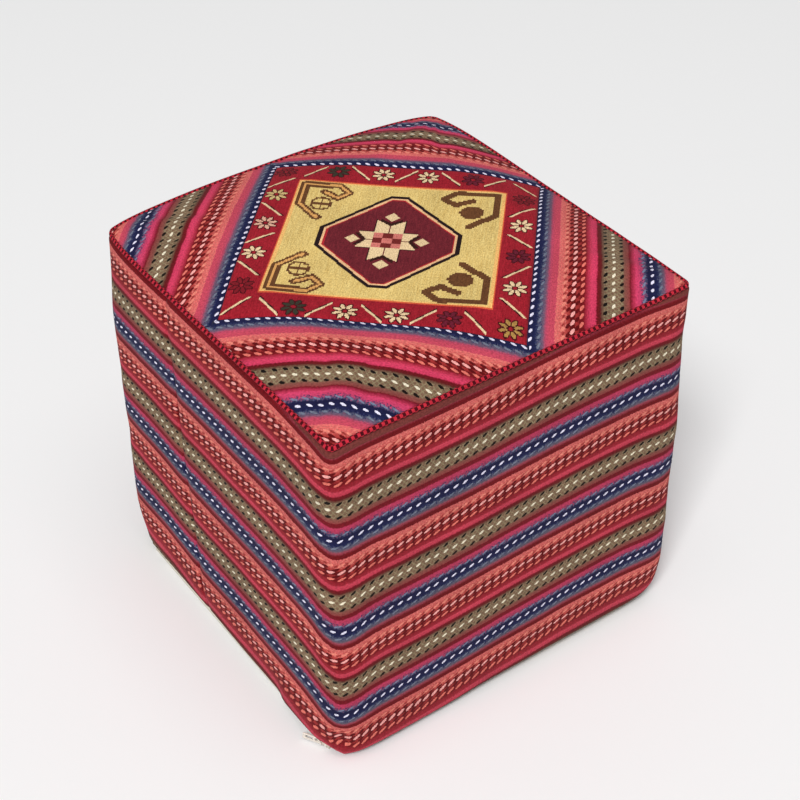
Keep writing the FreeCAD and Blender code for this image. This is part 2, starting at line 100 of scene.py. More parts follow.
# %% Wrap sockets for sums
class Term:
    """A socket of a material that sums and masks can be written on."""

    def __init__(self, tree, socket):
        self.tree = tree
        self.socket = socket

    def node(self, kind, sockets, output=0, **settings):
        """Any node: its settings first, then the values or links of its sockets."""
        made = self.tree.nodes.new(kind)
        for name, value in settings.items():
            setattr(made, name, value)
        for place, value in sockets.items():
            if isinstance(value, Term):
                self.tree.links.new(value.socket, made.inputs[place])
            else:
                made.inputs[place].default_value = value
        return Term(self.tree, made.outputs[output])

    def math(self, operation, *others):
        return self.node("ShaderNodeMath", dict(enumerate((self,) + others)), operation=operation)

    def __rsub__(self, other):
        return self * -1 + other

    def hypot(self, other):
        """How far a place is that is this far one way and that far the other."""
        return (self * self + other * other).math("SQRT")

    def within(self, low, high):
        """A mask of where the value is between two others."""
        return (self > low) & (self < high)

    def stepped(self, size):
        """The value in whole stitches, taken at the middle of each."""
        return ((self / size).math("FLOOR") + 0.5) * size

    def pick(self, otherwise, colour):
        """One colour where this mask is one, and another elsewhere."""
        return self.node("ShaderNodeMix", {0: self, 6: otherwise, 7: colour}, 2, data_type="RGBA")

    def blend(self, otherwise, value):
        """One number where this mask is one, and another elsewhere."""
        return self.node("ShaderNodeMix", {0: self, 2: otherwise, 3: value})


OPERATORS = {
    "add": "ADD", "sub": "SUBTRACT", "mul": "MULTIPLY", "truediv": "DIVIDE", "mod": "FLOORED_MODULO",
    "abs": "ABSOLUTE", "lt": "LESS_THAN", "gt": "GREATER_THAN", "and": "MULTIPLY", "or": "MAXIMUM",
}
for name, operation in OPERATORS.items():
    setattr(Term, f"__{name}__", partialmethod(Term.math, operation))
print(len(OPERATORS), "operators work on sockets")

# %% [markdown]
# ## Yarn, and the wool it makes
# Hand-dyed yarn is uneven: its colour wanders along each thread and between threads. A picture of cloth
# would blur close up, so noise that is stretched along the thread gives it here. Flat weave is matt, with a
# little sheen from its fibres, and the ribs of its threads show as bump.

# %% Make the shared parts of the cloth materials
WOOL = dict(Roughness=0.95, Specular_IOR_Level=0.08, Sheen_Weight=0.03, Sheen_Roughness=0.5)
RIB = 2.2


def dye(red, green, blue):
    """A colour as a screen shows it, 0 to 255, as the linear colour that a shader takes."""
    shares = [channel / 255 for channel in (red, green, blue)]
    linear = [share / 12.92 if share < 0.0404 else ((share + 0.055) / 1.055) ** 2.4 for share in shares]
    return (*linear, 1.0)


def new_material(name, **values):
    """A material whose shader has its constants on its own sockets."""
    material = bpy.data.materials.new(f"{name} finish")
    material.use_nodes = True
    shader = material.node_tree.nodes["Principled BSDF"]
    for socket, value in values.items():
        shader.inputs[socket.replace("_", " ")].default_value = value
    return material, material.node_tree, shader


def speckle(along, down, run, rise):
    """Noise from 0 to 1 whose grains are `run` millimetres along the thread and `rise` across it."""
    spot = along.node("ShaderNodeCombineXYZ", {0: along / run, 1: down / rise})
    sockets = {"Vector": spot, "Scale": 1.0, "Detail": 2.0}
    return along.node("ShaderNodeTexNoise", sockets, noise_dimensions="2D")


def ramp(term, stops, kind="LINEAR"):
    """A colour for each value from 0 to 1, from (position, colour) stops."""
    made = term.node("ShaderNodeValToRGB", {0: term})
    band = made.socket.node.color_ramp
    band.interpolation = kind
    for spare in range(len(stops) - 2):
        band.elements.new(0.5)
    for element, (position, colour) in zip(band.elements, stops):
        element.position = position
        element.color = colour
    return made


def in_oval(across, beside, half_across, half_beside):
    """A mask of an oval, from the distances to its middle and its two half sizes."""
    one = across / half_across
    other = beside / half_beside
    return one * one + other * other < 1.0


def woven(name, draw):
    """A cloth finish: a drawing's colours in uneven yarn, with ribs and raised stitches as bump."""
    material, tree, shader = new_material(name, **WOOL)
    source = tree.nodes.new("ShaderNodeUVMap")
    source.uv_map = "Weave"
    place = Term(tree, source.outputs[0])
    along, down = (place.node("ShaderNodeSeparateXYZ", {0: place}, axis) * 1000 for axis in (0, 1))
    colour, raised = draw(along, down)
    # Threads and broad patches wander round a mean of one.
    uneven = speckle(along, down, 2.4, 1.2) * 1.1 + speckle(along, down, 60.0, 25.0) * 0.35 + 0.275
    shade = uneven.node("ShaderNodeCombineColor", {0: uneven, 1: uneven, 2: uneven})
    layers = {0: 1.0, 6: colour, 7: shade}
    dyed = colour.node("ShaderNodeMix", layers, 2, data_type="RGBA", blend_type="MULTIPLY")
    wave = 2 * pi / RIB
    ribs = (along * wave + (down * wave).math("SINE") * 1.5).math("SINE")
    height = ribs * 0.22 + raised * 0.5 + speckle(along, down, 2.0, 1.2) * 0.6
    bump = height.node("ShaderNodeBump", {"Height": height, "Strength": 0.55, "Distance": 0.6 * MM})
    tree.links.new(dyed.socket, shader.inputs["Base Color"])
    tree.links.new(bump.socket, shader.inputs["Normal"])
    print(name, "has", len(tree.nodes), "shader nodes")
    return material


print("wool has a rib every", RIB, "mm")

# %% [markdown]
# ## The striped weave
# Walls and corners are cut from one striped cloth that repeats every 107 mm. One colour ramp over the
# repeat gives the plain stripes, and rows of slanted ovals are the dashes woven into them. `down` is
# measured from the top of a wall, where a brown band comes first, and the repeat starts with the salmon
# stripe. The corners of the top have the same stripes in brighter pinks.

# %% Weave the striped cloth
REPEAT = 107.0
SALMON_TOP = 14.5
BROWN_FOOT = 8.2
SALMON = (1, 10)
KHAKI = (42, 60)
NAVY_EDGES = ((75, 82), (90.5, 96))
DASH_PITCH = 10.0
DASH_TILT = 0.35
LATTICE_PITCH = 5.0
LATTICE_LEAN = 0.8
STRAND_HALF = 0.14
FRAY = 2
NAVY_FRAY = 8
STITCH = (0.7, 0.6)
STRIPES = [
    # Millimetres below the top of the salmon stripe, and a colour.
    (0.0, dye(206, 100, 97)), (4.4, dye(197, 88, 84)), (9.0, dye(188, 76, 71)), (12.6, dye(160, 50, 48)),
    (13.4, dye(98, 16, 18)), (17.0, dye(98, 16, 18)), (17.8, dye(158, 50, 48)), (20.4, dye(150, 42, 42)),
    (21.2, dye(110, 18, 24)), (24.8, dye(118, 20, 26)), (25.8, dye(140, 30, 40)), (30.0, dye(154, 38, 50)),
    (31.0, dye(198, 66, 84)), (35.0, dye(190, 60, 78)), (36.2, dye(112, 18, 28)), (39.4, dye(98, 30, 30)),
    (41.0, dye(108, 78, 62)), (43.0, dye(124, 96, 76)), (59.4, dye(124, 96, 76)), (61.0, dye(130, 78, 68)),
    (65.0, dye(140, 64, 62)), (66.0, dye(112, 20, 30)), (70.2, dye(118, 24, 34)), (71.2, dye(186, 58, 90)),
    (76.0, dye(170, 60, 90)), (80.0, dye(76, 78, 106)), (82.0, dye(28, 26, 60)), (91.6, dye(30, 34, 72)),
    (93.6, dye(80, 84, 106)), (97.4, dye(96, 84, 98)), (99.8, dye(154, 64, 78)), (102.8, dye(108, 18, 24)),
]
PINKER = {
    0.0: dye(222, 108, 106), 4.4: dye(212, 98, 94), 25.8: dye(150, 34, 48), 30.0: dye(204, 60, 90),
    31.0: dye(212, 64, 98), 35.0: dye(208, 60, 94), 70.2: dye(190, 54, 86), 71.2: dye(206, 64, 102),
    76.0: dye(194, 64, 102), 97.4: dye(112, 84, 106), 99.8: dye(184, 70, 96), 102.8: dye(196, 72, 92),
}
DASH_ROWS = [
    # Row's middle, half step, half length, half height, colour.
    (6.8, 0.0, 3.2, 1.4, dye(230, 132, 116)), (7.2, 0.5, 2.2, 1.0, dye(156, 56, 52)),
    (11.3, 0.5, 3.5, 1.5, dye(96, 14, 18)), (15.2, 0.0, 3.9, 1.5, dye(246, 170, 164)),
    (19.1, 0.5, 3.5, 1.5, dye(96, 14, 18)), (23.0, 0.0, 3.9, 1.4, dye(228, 118, 104)),
    (43.6, 0.0, 2.8, 1.6, dye(24, 18, 16)), (50.9, 0.0, 2.7, 1.4, dye(236, 226, 200)),
    (58.6, 0.0, 2.8, 1.6, dye(24, 18, 16)), (78.8, 0.5, 3.4, 1.1, dye(116, 122, 148)),
    (86.5, 0.0, 2.7, 1.3, dye(232, 228, 248)), (94.0, 0.5, 3.4, 1.1, dye(112, 118, 136)),
]


def striped_colour(along, down, stripes):
    """The stripes and dashes at a place on the cloth, and where its stitches stand up."""
    along, down = along.stepped(STITCH[0]), down.stepped(STITCH[1])
    row_down = (down - SALMON_TOP) % REPEAT
    fuzzy = row_down.within(*NAVY_EDGES[0]) | row_down.within(*NAVY_EDGES[1])
    streak = speckle(along, down, 1.5, 5.0) - 0.5
    frayed = (down - SALMON_TOP + streak * (fuzzy * NAVY_FRAY + FRAY)) % REPEAT
    colour = ramp(frayed / REPEAT, [(at / REPEAT, tone) for at, tone in stripes])
    grain = speckle(along, down, 1.8, 1.4)
    colour = ((grain > 0.57) & row_down.within(*SALMON)).pick(colour, dye(216, 118, 109))
    strands = []
    for lean in (LATTICE_LEAN, -LATTICE_LEAN):
        strands.append(abs((along + row_down * lean) / LATTICE_PITCH % 1.0 - 0.5) < STRAND_HALF)
    lattice = (strands[0] | strands[1]) & row_down.within(*KHAKI)
    colour = (lattice * 0.5).pick(colour, dye(156, 146, 112))
    colour = ((grain > 0.6) & fuzzy).pick(colour, dye(46, 52, 90))
    raised = lattice
    for middle, step, half_length, half_height, tone in DASH_ROWS:
        beside = ((along / DASH_PITCH + step) % 1.0 - 0.5) * DASH_PITCH
        across = row_down - middle + beside * DASH_TILT
        dash = in_oval(across, beside, half_height, half_length)
        colour = dash.pick(colour, tone)
        raised = raised | dash
    return (down < BROWN_FOOT).pick(colour, dye(112, 54, 50)), raised


def striped_weave(name, stripes):
    return woven(name, lambda along, down: striped_colour(along, down, stripes))


STRIPED = striped_weave("striped_weave", STRIPES)
CORNER_STRIPED = striped_weave("striped_weave corner", [(at, PINKER.get(at, tone)) for at, tone in STRIPES])

# %% [markdown]
# ## The medallion: its border
# The medallion is a square turned on its corner. Its red border carries a ring of rosettes with leaning
# strokes between them. All four sides are one pattern, so the place on the cloth is folded instead of
# drawing each: `run` goes along a side and `out` across its border. The left and right sides take the
# corners, and their rosettes stand further apart.

# %% Draw the medallion's border
FIELD_A = 99.0
FIELD_B = 103.6
BORDER_A = 20
BORDER_B = 18
PETALS = 8
PETAL_REACH = 7.2
PETAL_SIZE = (4.0, 1.85)
HALO_SIZE = (5.2, 3.2)
STROKE_HALF = 10.5
STROKE_LEAN = 1.1
STROKE_EDGE = 1.6
SHADOW_EDGE = 3.4
CREAM = dye(233, 203, 160)
GREEN = dye(58, 56, 44)
PLUM = dye(104, 28, 46)
OLIVE = dye(172, 132, 72)
MAROON = dye(126, 26, 36)
BARE = (0.0, 0.0, 0.0, 0.0)
FRONT_AND_BACK = (22.6, 45.4, (BARE, PLUM, CREAM, CREAM, GREEN, BARE, BARE, BARE))
SIDES = [
    # Offset and pitch of a side's rosettes, and their colours from index -3 to 4: right, left, front, back.
    (-66.7, 52.2, (BARE, BARE, OLIVE, CREAM, PLUM, CREAM, MAROON, BARE)),
    (14.5, 52.2, (BARE, MAROON, CREAM, dye(226, 176, 150), dye(206, 178, 122), MAROON, BARE, BARE)),
    FRONT_AND_BACK,
    FRONT_AND_BACK,
]


def border_colour(a, b):
    """The red border with its rosettes and strokes, and where its stitches stand up."""
    end = abs(b) < FIELD_B
    run = end.blend(a, b)
    out = end.blend(abs(b) - (FIELD_B + BORDER_B), abs(a) - (FIELD_A + BORDER_A))
    high = end.blend(b, a) > 0
    offset = end.blend(high.blend(SIDES[0][0], SIDES[1][0]), FRONT_AND_BACK[0])
    pitch = end.blend(SIDES[0][1], FRONT_AND_BACK[1])
    travel = (run - offset) / pitch
    index = (travel + 0.5).math("FLOOR")
    beside = (travel - index) * pitch
    reach = beside.hypot(out)
    petal = (out.math("ARCTAN2", beside) * (PETALS / (2 * pi))) % 1.0 - 0.5
    aside = petal * (2 * pi / PETALS) * reach
    stroke_index = travel.math("FLOOR")
    along_stroke = (travel - stroke_index - 0.5) * pitch
    lean = 1 - (stroke_index % 2.0) * 2
    off_line = out - along_stroke * lean * STROKE_LEAN
    reached = abs(along_stroke) < STROKE_HALF
    stroke = off_line.within(-STROKE_EDGE, STROKE_EDGE) & reached
    shadow = off_line.within(-SHADOW_EDGE, STROKE_EDGE) & reached
    tones = [tone for start, step, row in SIDES for tone in row]
    side = end * 2 + high
    place = (side * len(FRONT_AND_BACK[2]) + index + 3.5) / len(tones)
    rosette_tone = ramp(place, [(i / len(tones), tone) for i, tone in enumerate(tones)], "CONSTANT")
    shown = Term(rosette_tone.tree, rosette_tone.socket.node.outputs["Alpha"])
    flower = in_oval(reach - PETAL_REACH, aside, *PETAL_SIZE) & shown
    halo = in_oval(reach - PETAL_REACH, aside, *HALO_SIZE) & shown * 0.9
    colour = speckle(a, b, 9.0, 2.0).pick(dye(130, 18, 30), dye(176, 38, 52))
    colour = halo.pick(colour, dye(52, 10, 16))
    colour = flower.pick(colour, rosette_tone)
    colour = shadow.pick(colour, dye(46, 16, 18))
    return stroke.pick(colour, CREAM), flower | stroke


print("border:", sum(tone != BARE for side in SIDES for tone in side[2]), "rosettes")

# %% [markdown]
# ## The medallion: its field
# Inside the border is a yellow field with a hooked motif in each corner. The corners mirror one another, so
# one drawing on the folded place makes all four: a chain of straight bars, which on the left is smaller and
# drawn as outlines only.

# %% Draw the medallion's field
HOOK = [(79, 71.5), (69.5, 55), (80.5, 43.5), (92, 55.5), (91, 96), (54.5, 96), (32, 71.5)]
HOOK_STITCH = 2.2
OVAL_A, OVAL_B = 57.5, 72
OVAL_CORE, OVAL_RADIUS, OVAL_RIM = 9.2, 11.8, 12.4
CROSS_HALF = 1.4
BAR_CORE, BAR_HALF, BAR_RIM = 1.8, 3.9, 4.9
LEFT_SHARE = 0.88


def bar_distance(a, b, start, end):
    """Distance from a straight bar between two places."""
    run = (end[0] - start[0], end[1] - start[1])
    square = run[0] ** 2 + run[1] ** 2
    from_a = a - start[0]
    from_b = b - start[1]
    share = from_a * (run[0] / square) + from_b * (run[1] / square)
    share = share.math("MAXIMUM", 0.0).math("MINIMUM", 1.0)
    return (from_a - share * run[0]).hypot(from_b - share * run[1])


def field_colour(a, b, ground):
    """The yellow field, its edge lines and its four hooks, over the border's colours."""
    depth = (FIELD_A - abs(a)).math("MINIMUM", FIELD_B - abs(b))
    yellow = speckle(a, b, 22.0, 1.6).pick(dye(204, 168, 92), dye(240, 214, 140))
    colour = ground
    for inside, tone in ((-1.2, dye(214, 92, 60)), (0.6, dye(240, 186, 112)), (3.4, yellow)):
        colour = (depth > inside).pick(colour, tone)
    left = b > 0
    fold_a = abs(a).stepped(HOOK_STITCH)
    fold_b = (FIELD_B - (FIELD_B - abs(b)) * left.blend(1.0, 1 / LEFT_SHARE)).stepped(HOOK_STITCH)
    near, *bars = [bar_distance(fold_a, fold_b, start, end) for start, end in zip(HOOK, HOOK[1:])]
    for bar in bars:
        near = near.math("MINIMUM", bar)
    oval_a = fold_a - OVAL_A
    oval_b = fold_b - OVAL_B
    from_middle = oval_a.hypot(oval_b)
    cross = (abs(oval_a).math("MINIMUM", abs(oval_b)) < CROSS_HALF) & (from_middle < OVAL_RADIUS)
    rim = near.within(BAR_CORE, BAR_RIM) | from_middle.within(OVAL_CORE, OVAL_RIM)
    solid = (near < BAR_HALF) | (from_middle < OVAL_RADIUS)
    colour = (left & (near < BAR_CORE)).pick(colour, dye(222, 164, 96))
    brown = speckle(a, b, 6.0, 2.0).pick(dye(84, 50, 30), dye(118, 76, 44))
    return left.blend(solid, rim | cross).pick(colour, brown)


print("field:", len(HOOK) - 1, "bars in each hook")

# %% [markdown]
# ## The medallion: its star
# In the middle is a dark octagon in thin rings, with a star of cream petals round a small checked square.
# The octagon is the distance from its nearest side, and each ring is a limit on that. One loop makes the
# petals along both directions of the cloth.

# %% Draw the star and weave the medallion
MEDALLION_STITCH = 1.1
STAR_A, STAR_B, OCTAGON_MIDDLE_B = 0.5, 2.8, 1.0
OCTAGON_A, OCTAGON_B = 79.5, 68.0
SLANT_A, SLANT_B, SLANT_OUT = 0.684, 0.73, 61.0
PETAL_HALF = 13.4
CHEVRON_LEAN = 0.7
TIP_OUT, TIP_ASIDE = 7.6, 7.4
CHECK_A, CHECK_B = 4.4, 4.7
STAR = [
    # Where a petal starts, its corner, its notch and the tip beyond it: along `a`, then along `b`.
    (13.1, 36.5, 25.5, 41.0),
    (14.1, 28.5, 19.5, 33.0),
]


def octagon_colour(a, b, ground):
    """The dark octagon with its rings and its star, and where its stitches stand up."""
    from_a = abs(a - STAR_A)
    side_b = abs(b - OCTAGON_MIDDLE_B)
    from_b = abs(b - STAR_B)
    edge = (from_a - OCTAGON_A).math("MAXIMUM", side_b - OCTAGON_B)
    edge = edge.math("MAXIMUM", from_a * SLANT_A + side_b * SLANT_B - SLANT_OUT)
    plum = speckle(a, b, 12.0, 2.0).pick(dye(88, 22, 34), dye(126, 42, 50))
    colour = ground
    rings = ((0.0, dye(36, 20, 22)), (-3.8, dye(238, 188, 140)), (-6.6, dye(176, 40, 48)), (-8.0, plum))
    for limit, tone in rings:
        colour = (edge < limit).pick(colour, tone)
    petals = band = tips = lines = a * 0
    for out, aside, (start, corner, notch, tip) in ((from_a, from_b, STAR[0]), (from_b, from_a, STAR[1])):
        inside = (out > start) & (aside < PETAL_HALF)
        chevron = out - aside * CHEVRON_LEAN
        petals = petals | inside & (out < corner) & (chevron < notch) & (aside > 0.9)
        band = band | inside & chevron.within(notch, notch + 5) & (aside < 10.0)
        tips = tips | (abs(out - tip) / TIP_OUT + aside / TIP_ASIDE < 1.0)
        lines = lines | (out < corner) & aside.within(PETAL_HALF, PETAL_HALF + 1.4)
    colour = lines.pick(colour, dye(48, 14, 20))
    colour = band.pick(colour, dye(54, 22, 18))
    colour = (petals | tips).pick(colour, dye(232, 202, 156))
    square = (from_a < STAR[0][0]) & (from_b < STAR[1][0])
    odd = (from_a > CHECK_A).math("COMPARE", from_b > CHECK_B, 0.1)
    checks = odd.pick(dye(116, 38, 36), dye(208, 118, 108))
    return square.pick(colour, checks), petals | tips


def medallion_colour(along, down):
    a, b = along.stepped(MEDALLION_STITCH), down.stepped(MEDALLION_STITCH)
    colour, raised = border_colour(a, b)
    colour, star = octagon_colour(a, b, field_colour(a, b, colour))
    return colour, raised | star


MEDALLION = woven("medallion_weave", medallion_colour)

# %% [markdown]
# ## The piping's checks
# The piping is a strip of checked cloth sewn round a cotton cord. Four checks go round the tube, so the
# pattern closes, and two rows of them show.

# %% Weave the checked piping
CHECK_LENGTH = 3.0
CHECK_HEIGHT = 3.77


def checked_colour(along, down):
    check = ((along / CHECK_LENGTH).math("FLOOR") + (down / CHECK_HEIGHT).math("FLOOR")) % 2.0
    return check.pick(dye(74, 10, 20), dye(192, 42, 58)), check


PIPED = woven("piping_weave", checked_colour)

# %% [markdown]
# ## Plain finishes
# The underside is dark canvas, the zip is ivory and the inside is plain cotton, wadding and foam. They have
# no pattern to follow, so each takes its grain from the object's own coordinates and needs no cloth map.
# The zip's lacquer also has a clear coat.

# %% Make the plain finishes
PLAIN = {
    # Two colours to wander between, the grain in millimetres, the strength of its bump, and the roughness.
    "base_canvas": (dye(70, 52, 46), dye(104, 82, 72), 1.2, 0.6, 0.95),
    "zip_tape": (dye(206, 198, 180), dye(232, 226, 212), 0.8, 0.5, 0.9),
    "zip_coil": (dye(224, 218, 202), dye(236, 232, 220), 3.0, 0.1, 0.45),
    "zip_metal": (dye(230, 220, 206), dye(240, 232, 220), 6.0, 0.08, 0.35),
    "case_cotton": (dye(222, 212, 190), dye(238, 230, 212), 1.0, 0.4, 0.95),
    "cotton_cord": (dye(216, 206, 182), dye(236, 228, 208), 1.4, 0.6, 0.95),
    "wadding": (dye(236, 236, 232), dye(250, 250, 248), 7.0, 0.8, 1.0),
    "firm_foam": (dye(214, 200, 150), dye(230, 218, 172), 1.6, 0.7, 0.95),
    "soft_foam": (dye(236, 226, 190), dye(246, 238, 208), 1.6, 0.7, 0.95),
}
COATS = {"zip_metal": dict(Coat_Weight=0.4, Coat_Roughness=0.2)}


def plain_material(name):
    low, high, grain, bump, roughness = PLAIN[name]
    material, tree, shader = new_material(name, Roughness=roughness, **COATS.get(name, {}))
    source = tree.nodes.new("ShaderNodeTexCoord")
    place = Term(tree, source.outputs["Object"])
    mottle = place.node("ShaderNodeTexNoise", {"Vector": place, "Scale": 1 / (grain * MM), "Detail": 3.0})
    colour = mottle.pick(low, high)
    height = place.node("ShaderNodeBump", {"Height": mottle, "Strength": bump, "Distance": 0.3 * MM})
    tree.links.new(colour.socket, shader.inputs["Base Color"])
    tree.links.new(height.socket, shader.inputs["Normal"])
    return material


plain = {name: plain_material(name) for name in PLAIN}
print("plain finishes:", ", ".join(plain))

# %% [markdown]
# ## Pieces of the dressed model
# A finished piece sits at the origin with its place in its mesh. It rides on one body of the frame, stands
# for one or more nodes, and fills one material slot, which is the first word of its finish's name.

# %% Make the helpers for pieces
def new_piece(name, bm, material, body="pouf_body"):
    """An object from a bmesh, smooth, riding on a body."""
    mesh = bpy.data.meshes.new(name)
    bm.to_mesh(mesh)
    bm.free()
    for face in mesh.polygons:
        face.use_smooth = True
    piece = bpy.data.objects.new(name, mesh)
    scene.collection.objects.link(piece)
    piece.data.materials.append(material)
    print(name, "has", len(mesh.polygons), "faces")
    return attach(piece, body)


def clamp(value, low=0, high=1):
    return min(max(value, low), high)


def ease(value, start, end):
    """From 0 to 1 as a value goes from start to end, with soft ends."""
    share = clamp((value - start) / (end - start))
    return share * share * (3 - 2 * share)


# %% [markdown]
# ## How the cover settles
# A sewn and stuffed cover isn't quite a cube. If each piece of cloth were bent by hand, its edges would
# part from its neighbours, so one function says where any place on the ideal cover ends up. Walls are named
# by the axes, and corners as the camera sees them.

# %% Say how the cover settles
def settle(place):
    """Where a place on the ideal cover is on the sewn one. The moves are in millimetres."""
    x, y, z = place.x / HALF, place.y / HALF, place.z / MM
    left, right, front, back = max(-x, 0), max(x, 0), max(-y, 0), max(y, 0)
    top = ease(z, 290, 400)
    low = 1 - ease(z, 0, 45)
    edge = abs(x) * abs(y)
    right_corner = (right * front) ** 6
    # The back wall bulges, most at its top, and the upright edges are drawn in.
    move = Vector((0, (1 - x * x) * back ** 3 * (4.5 + 8 * top), 0))
    move += Vector((-2 * x, -2 * y, 0)) * edge ** 8
    # The back corner leans in, and so does the top of the left corner.
    move += Vector((-1, -1, -0.5)) * (5 * (right * back) ** 6 * ease(z, 60, 220))
    move += Vector((1, -1, 0)) * (6 * top * (left * back) ** 6)
    # The top droops at the front corner, and the lower part of the right corner stands out.
    move += Vector((0, 0, -8)) * (top * (left * front) ** 14)
    low_right = ease(z, -10, 25) * (1 - ease(z, 230, 350))
    move += Vector((1, -0.5, 0)) * (6 * low_right * right_corner)
    # The corners of the foot are tucked in and up, the right one less than the others.
    foot = edge ** 18 * (1 - ease(z, 5, 70)) * (1 - 0.5 * right_corner)
    move += Vector((-12 * x, -12 * y, 23)) * foot
    # Away from the front corner, the foot of the front and left walls is off the floor.
    move += Vector((0, 0, 3.5)) * (front ** 10 * low * ease(x, -0.4, -0.1))
    move += Vector((0, 0, 3.5)) * (left ** 10 * low * ease(y, -0.2, 0.3))
    # The hem of the left wall stands out near the closed end of the zip, but hardly at the pull.
    hem = ease(-place.y / MM, 88, 108) * (1 - ease(z, 15, 70)) * left ** 8
    hem *= 1 - 0.8 * ease(-place.y / MM, 158, 176)
    move += Vector((-4 * hem, 0, 0))
    return place + move * MM


print("front foot corner settles at", settle(Vector((-HALF, -HALF, 0))))

# %% [markdown]
# ## The top cloth
# Five separate panels would have to be matched along their seams, so the top starts as one grid. It is the
# flat cloth, with `a` towards the back and `b` towards the left of the medallion. It is cut along the four
# seams, laid on the top and trimmed to the rounded outline. The sewn medallion isn't quite in the middle,
# nor quite at 45 degrees, and it narrows towards the back.

# %% Cut the top cloth
MIDDLE = Vector((4.6 * MM, 3.5 * MM, 0))
TURN = pi / 4 + radians(1.7)
AXIS_A = Vector((cos(TURN), sin(TURN), 0))
AXIS_B = Vector((-sin(TURN), cos(TURN), 0))
SEAMS = {
    # The way out to a corner panel on the flat cloth, and how far out its seam is.
    "front": (Vector((-1, 0)), 132 * MM),
    "back": (Vector((1, 0)), 136 * MM),
    "left": (Vector((0, 1)), 134 * MM),
    "right": (Vector((0, -1)), 136 * MM),
}
GRID_HALF = 310 * MM
GRID_FACES = 112
CORNER_PARTS = 6
EDGE_LEVEL = PIPING_TOP - 1.5 * MM
SHOULDER_ROUND = 100 * MM
RISE = 14.5 * MM
SHOULDER_REACH = sqrt(2 * SHOULDER_ROUND * RISE - RISE ** 2)


def swell(x, y):
    """Height of the top cloth: round shoulders inside the piping that meet at the corners."""
    share = 1
    for reach in (abs(x), abs(y)):
        past = clamp(reach - EDGE + SHOULDER_REACH, 0, SHOULDER_REACH)
        share *= 1 - (SHOULDER_ROUND - sqrt(SHOULDER_ROUND ** 2 - past ** 2)) / RISE
    return EDGE_LEVEL + RISE * max(share, 0)


def cut_along(bm, at, normal, trim=False):
    """Cut a mesh along a plane, and drop what is beyond it if asked."""
    everything = bm.verts[:] + bm.edges[:] + bm.faces[:]
    plane = dict(plane_co=at, plane_no=normal, clear_outer=trim)
    bmesh.ops.bisect_plane(bm, geom=everything, dist=0.05 * MM, **plane)


def lie(a, b):
    """Where a place on the flat cloth lies on the top, as it was drawn when it was sewn in."""
    # The slip is in millimetres, for places in tenths of a metre.
    tenth_a, tenth_b = a * 10, b * 10
    slip = -6.5 - 3.3 * tenth_a - 1.4 * tenth_b + 1.8 * tenth_b ** 2 - 1.1 * tenth_a * tenth_b
    narrowing = 0.019 + 0.022 * tenth_a
    return MIDDLE + AXIS_A * (a + slip * MM) + AXIS_B * (b * (1 - narrowing))


def top_cloth():
    bm = bmesh.new()
    bmesh.ops.create_grid(bm, x_segments=GRID_FACES, y_segments=GRID_FACES, size=GRID_HALF)
    for out, distance in SEAMS.values():
        cut_along(bm, (out * distance).to_3d(), (abs(out.x), abs(out.y), 0))
    towards_back = bm.verts.layers.float.new("a")
    towards_left = bm.verts.layers.float.new("b")
    for vertex in bm.verts:
        vertex[towards_back], vertex[towards_left] = vertex.co.xy
        vertex.co = lie(*vertex.co.xy)
    for normal in ((1, 0, 0), (-1, 0, 0), (0, 1, 0), (0, -1, 0)):
        cut_along(bm, Vector(normal) * EDGE, normal, trim=True)
    bend = max(EDGE - STRAIGHT, 2 * MM)
    for quarter in range(4):
        for step in range(1, CORNER_PARTS):
            angle = (quarter + step / CORNER_PARTS) * pi / 2
            outward = Vector((cos(angle), sin(angle), 0))
            square = Vector((1 if cos(angle) > 0 else -1, 1 if sin(angle) > 0 else -1, 0))
            cut_along(bm, square * STRAIGHT + outward * bend, outward, trim=True)
    for vertex in bm.verts:
        vertex.co.z = swell(vertex.co.x, vertex.co.y)
    return bm


bm = top_cloth()
piped_edge = [vertex.index for vertex in bm.verts if vertex.is_boundary]
flat_place = [Vector([vertex[bm.verts.layers.float[axis]] for axis in "ab"]) for vertex in bm.verts]
top = new_piece("top_cloth", bm, MEDALLION)
print(len(piped_edge), "vertices are held by the piping")

# %% [markdown]
# ## Stuff the top
# Wadding presses the cloth up from inside while the piping holds its edge. A formula gave the broad form,
# and a cloth simulation adds how cloth gives between its seams: pressure from inside, the edge held still,
# and the swell capped so the cover stays taut.

# %% Swell the top cloth
PRESSURE = 3.0
SWELL_CAP = 3.0 * MM
SWELL_FRAMES = 20


def inflate(piece, sewn):
    """Let a cloth swell under pressure from inside, held at its sewn vertices."""
    start = [vertex.co.copy() for vertex in piece.data.vertices]
    group = piece.vertex_groups.new(name="sewn")
    group.add(sewn, 1.0, "REPLACE")
    cloth = piece.modifiers.new("Cloth", "CLOTH")
    cloth.settings.quality = 5
    cloth.settings.use_pressure = True
    cloth.settings.uniform_pressure_force = PRESSURE
    cloth.settings.vertex_group_mass = "sewn"
    cloth.settings.effector_weights.gravity = 0
    cloth.point_cache.frame_start = 1
    cloth.point_cache.frame_end = SWELL_FRAMES
    for step in range(1, SWELL_FRAMES + 1):
        scene.frame_set(step)
    swollen = piece.evaluated_get(bpy.context.evaluated_depsgraph_get())
    ends = [vertex.co.copy() for vertex in swollen.data.vertices]
    piece.modifiers.remove(cloth)
    piece.vertex_groups.remove(group)
    scene.frame_set(1)
    moves = [there - here for here, there in zip(start, ends)]
    for vertex, here, move in zip(piece.data.vertices, start, moves):
        if move.length > SWELL_CAP:
            move = move.normalized() * SWELL_CAP
        vertex.co = here + move
    widest = max(move.length for move in moves)
    print(piece.name, "swelled by", round(widest / MM, 2), "mm before its cap")


inflate(top, piped_edge)

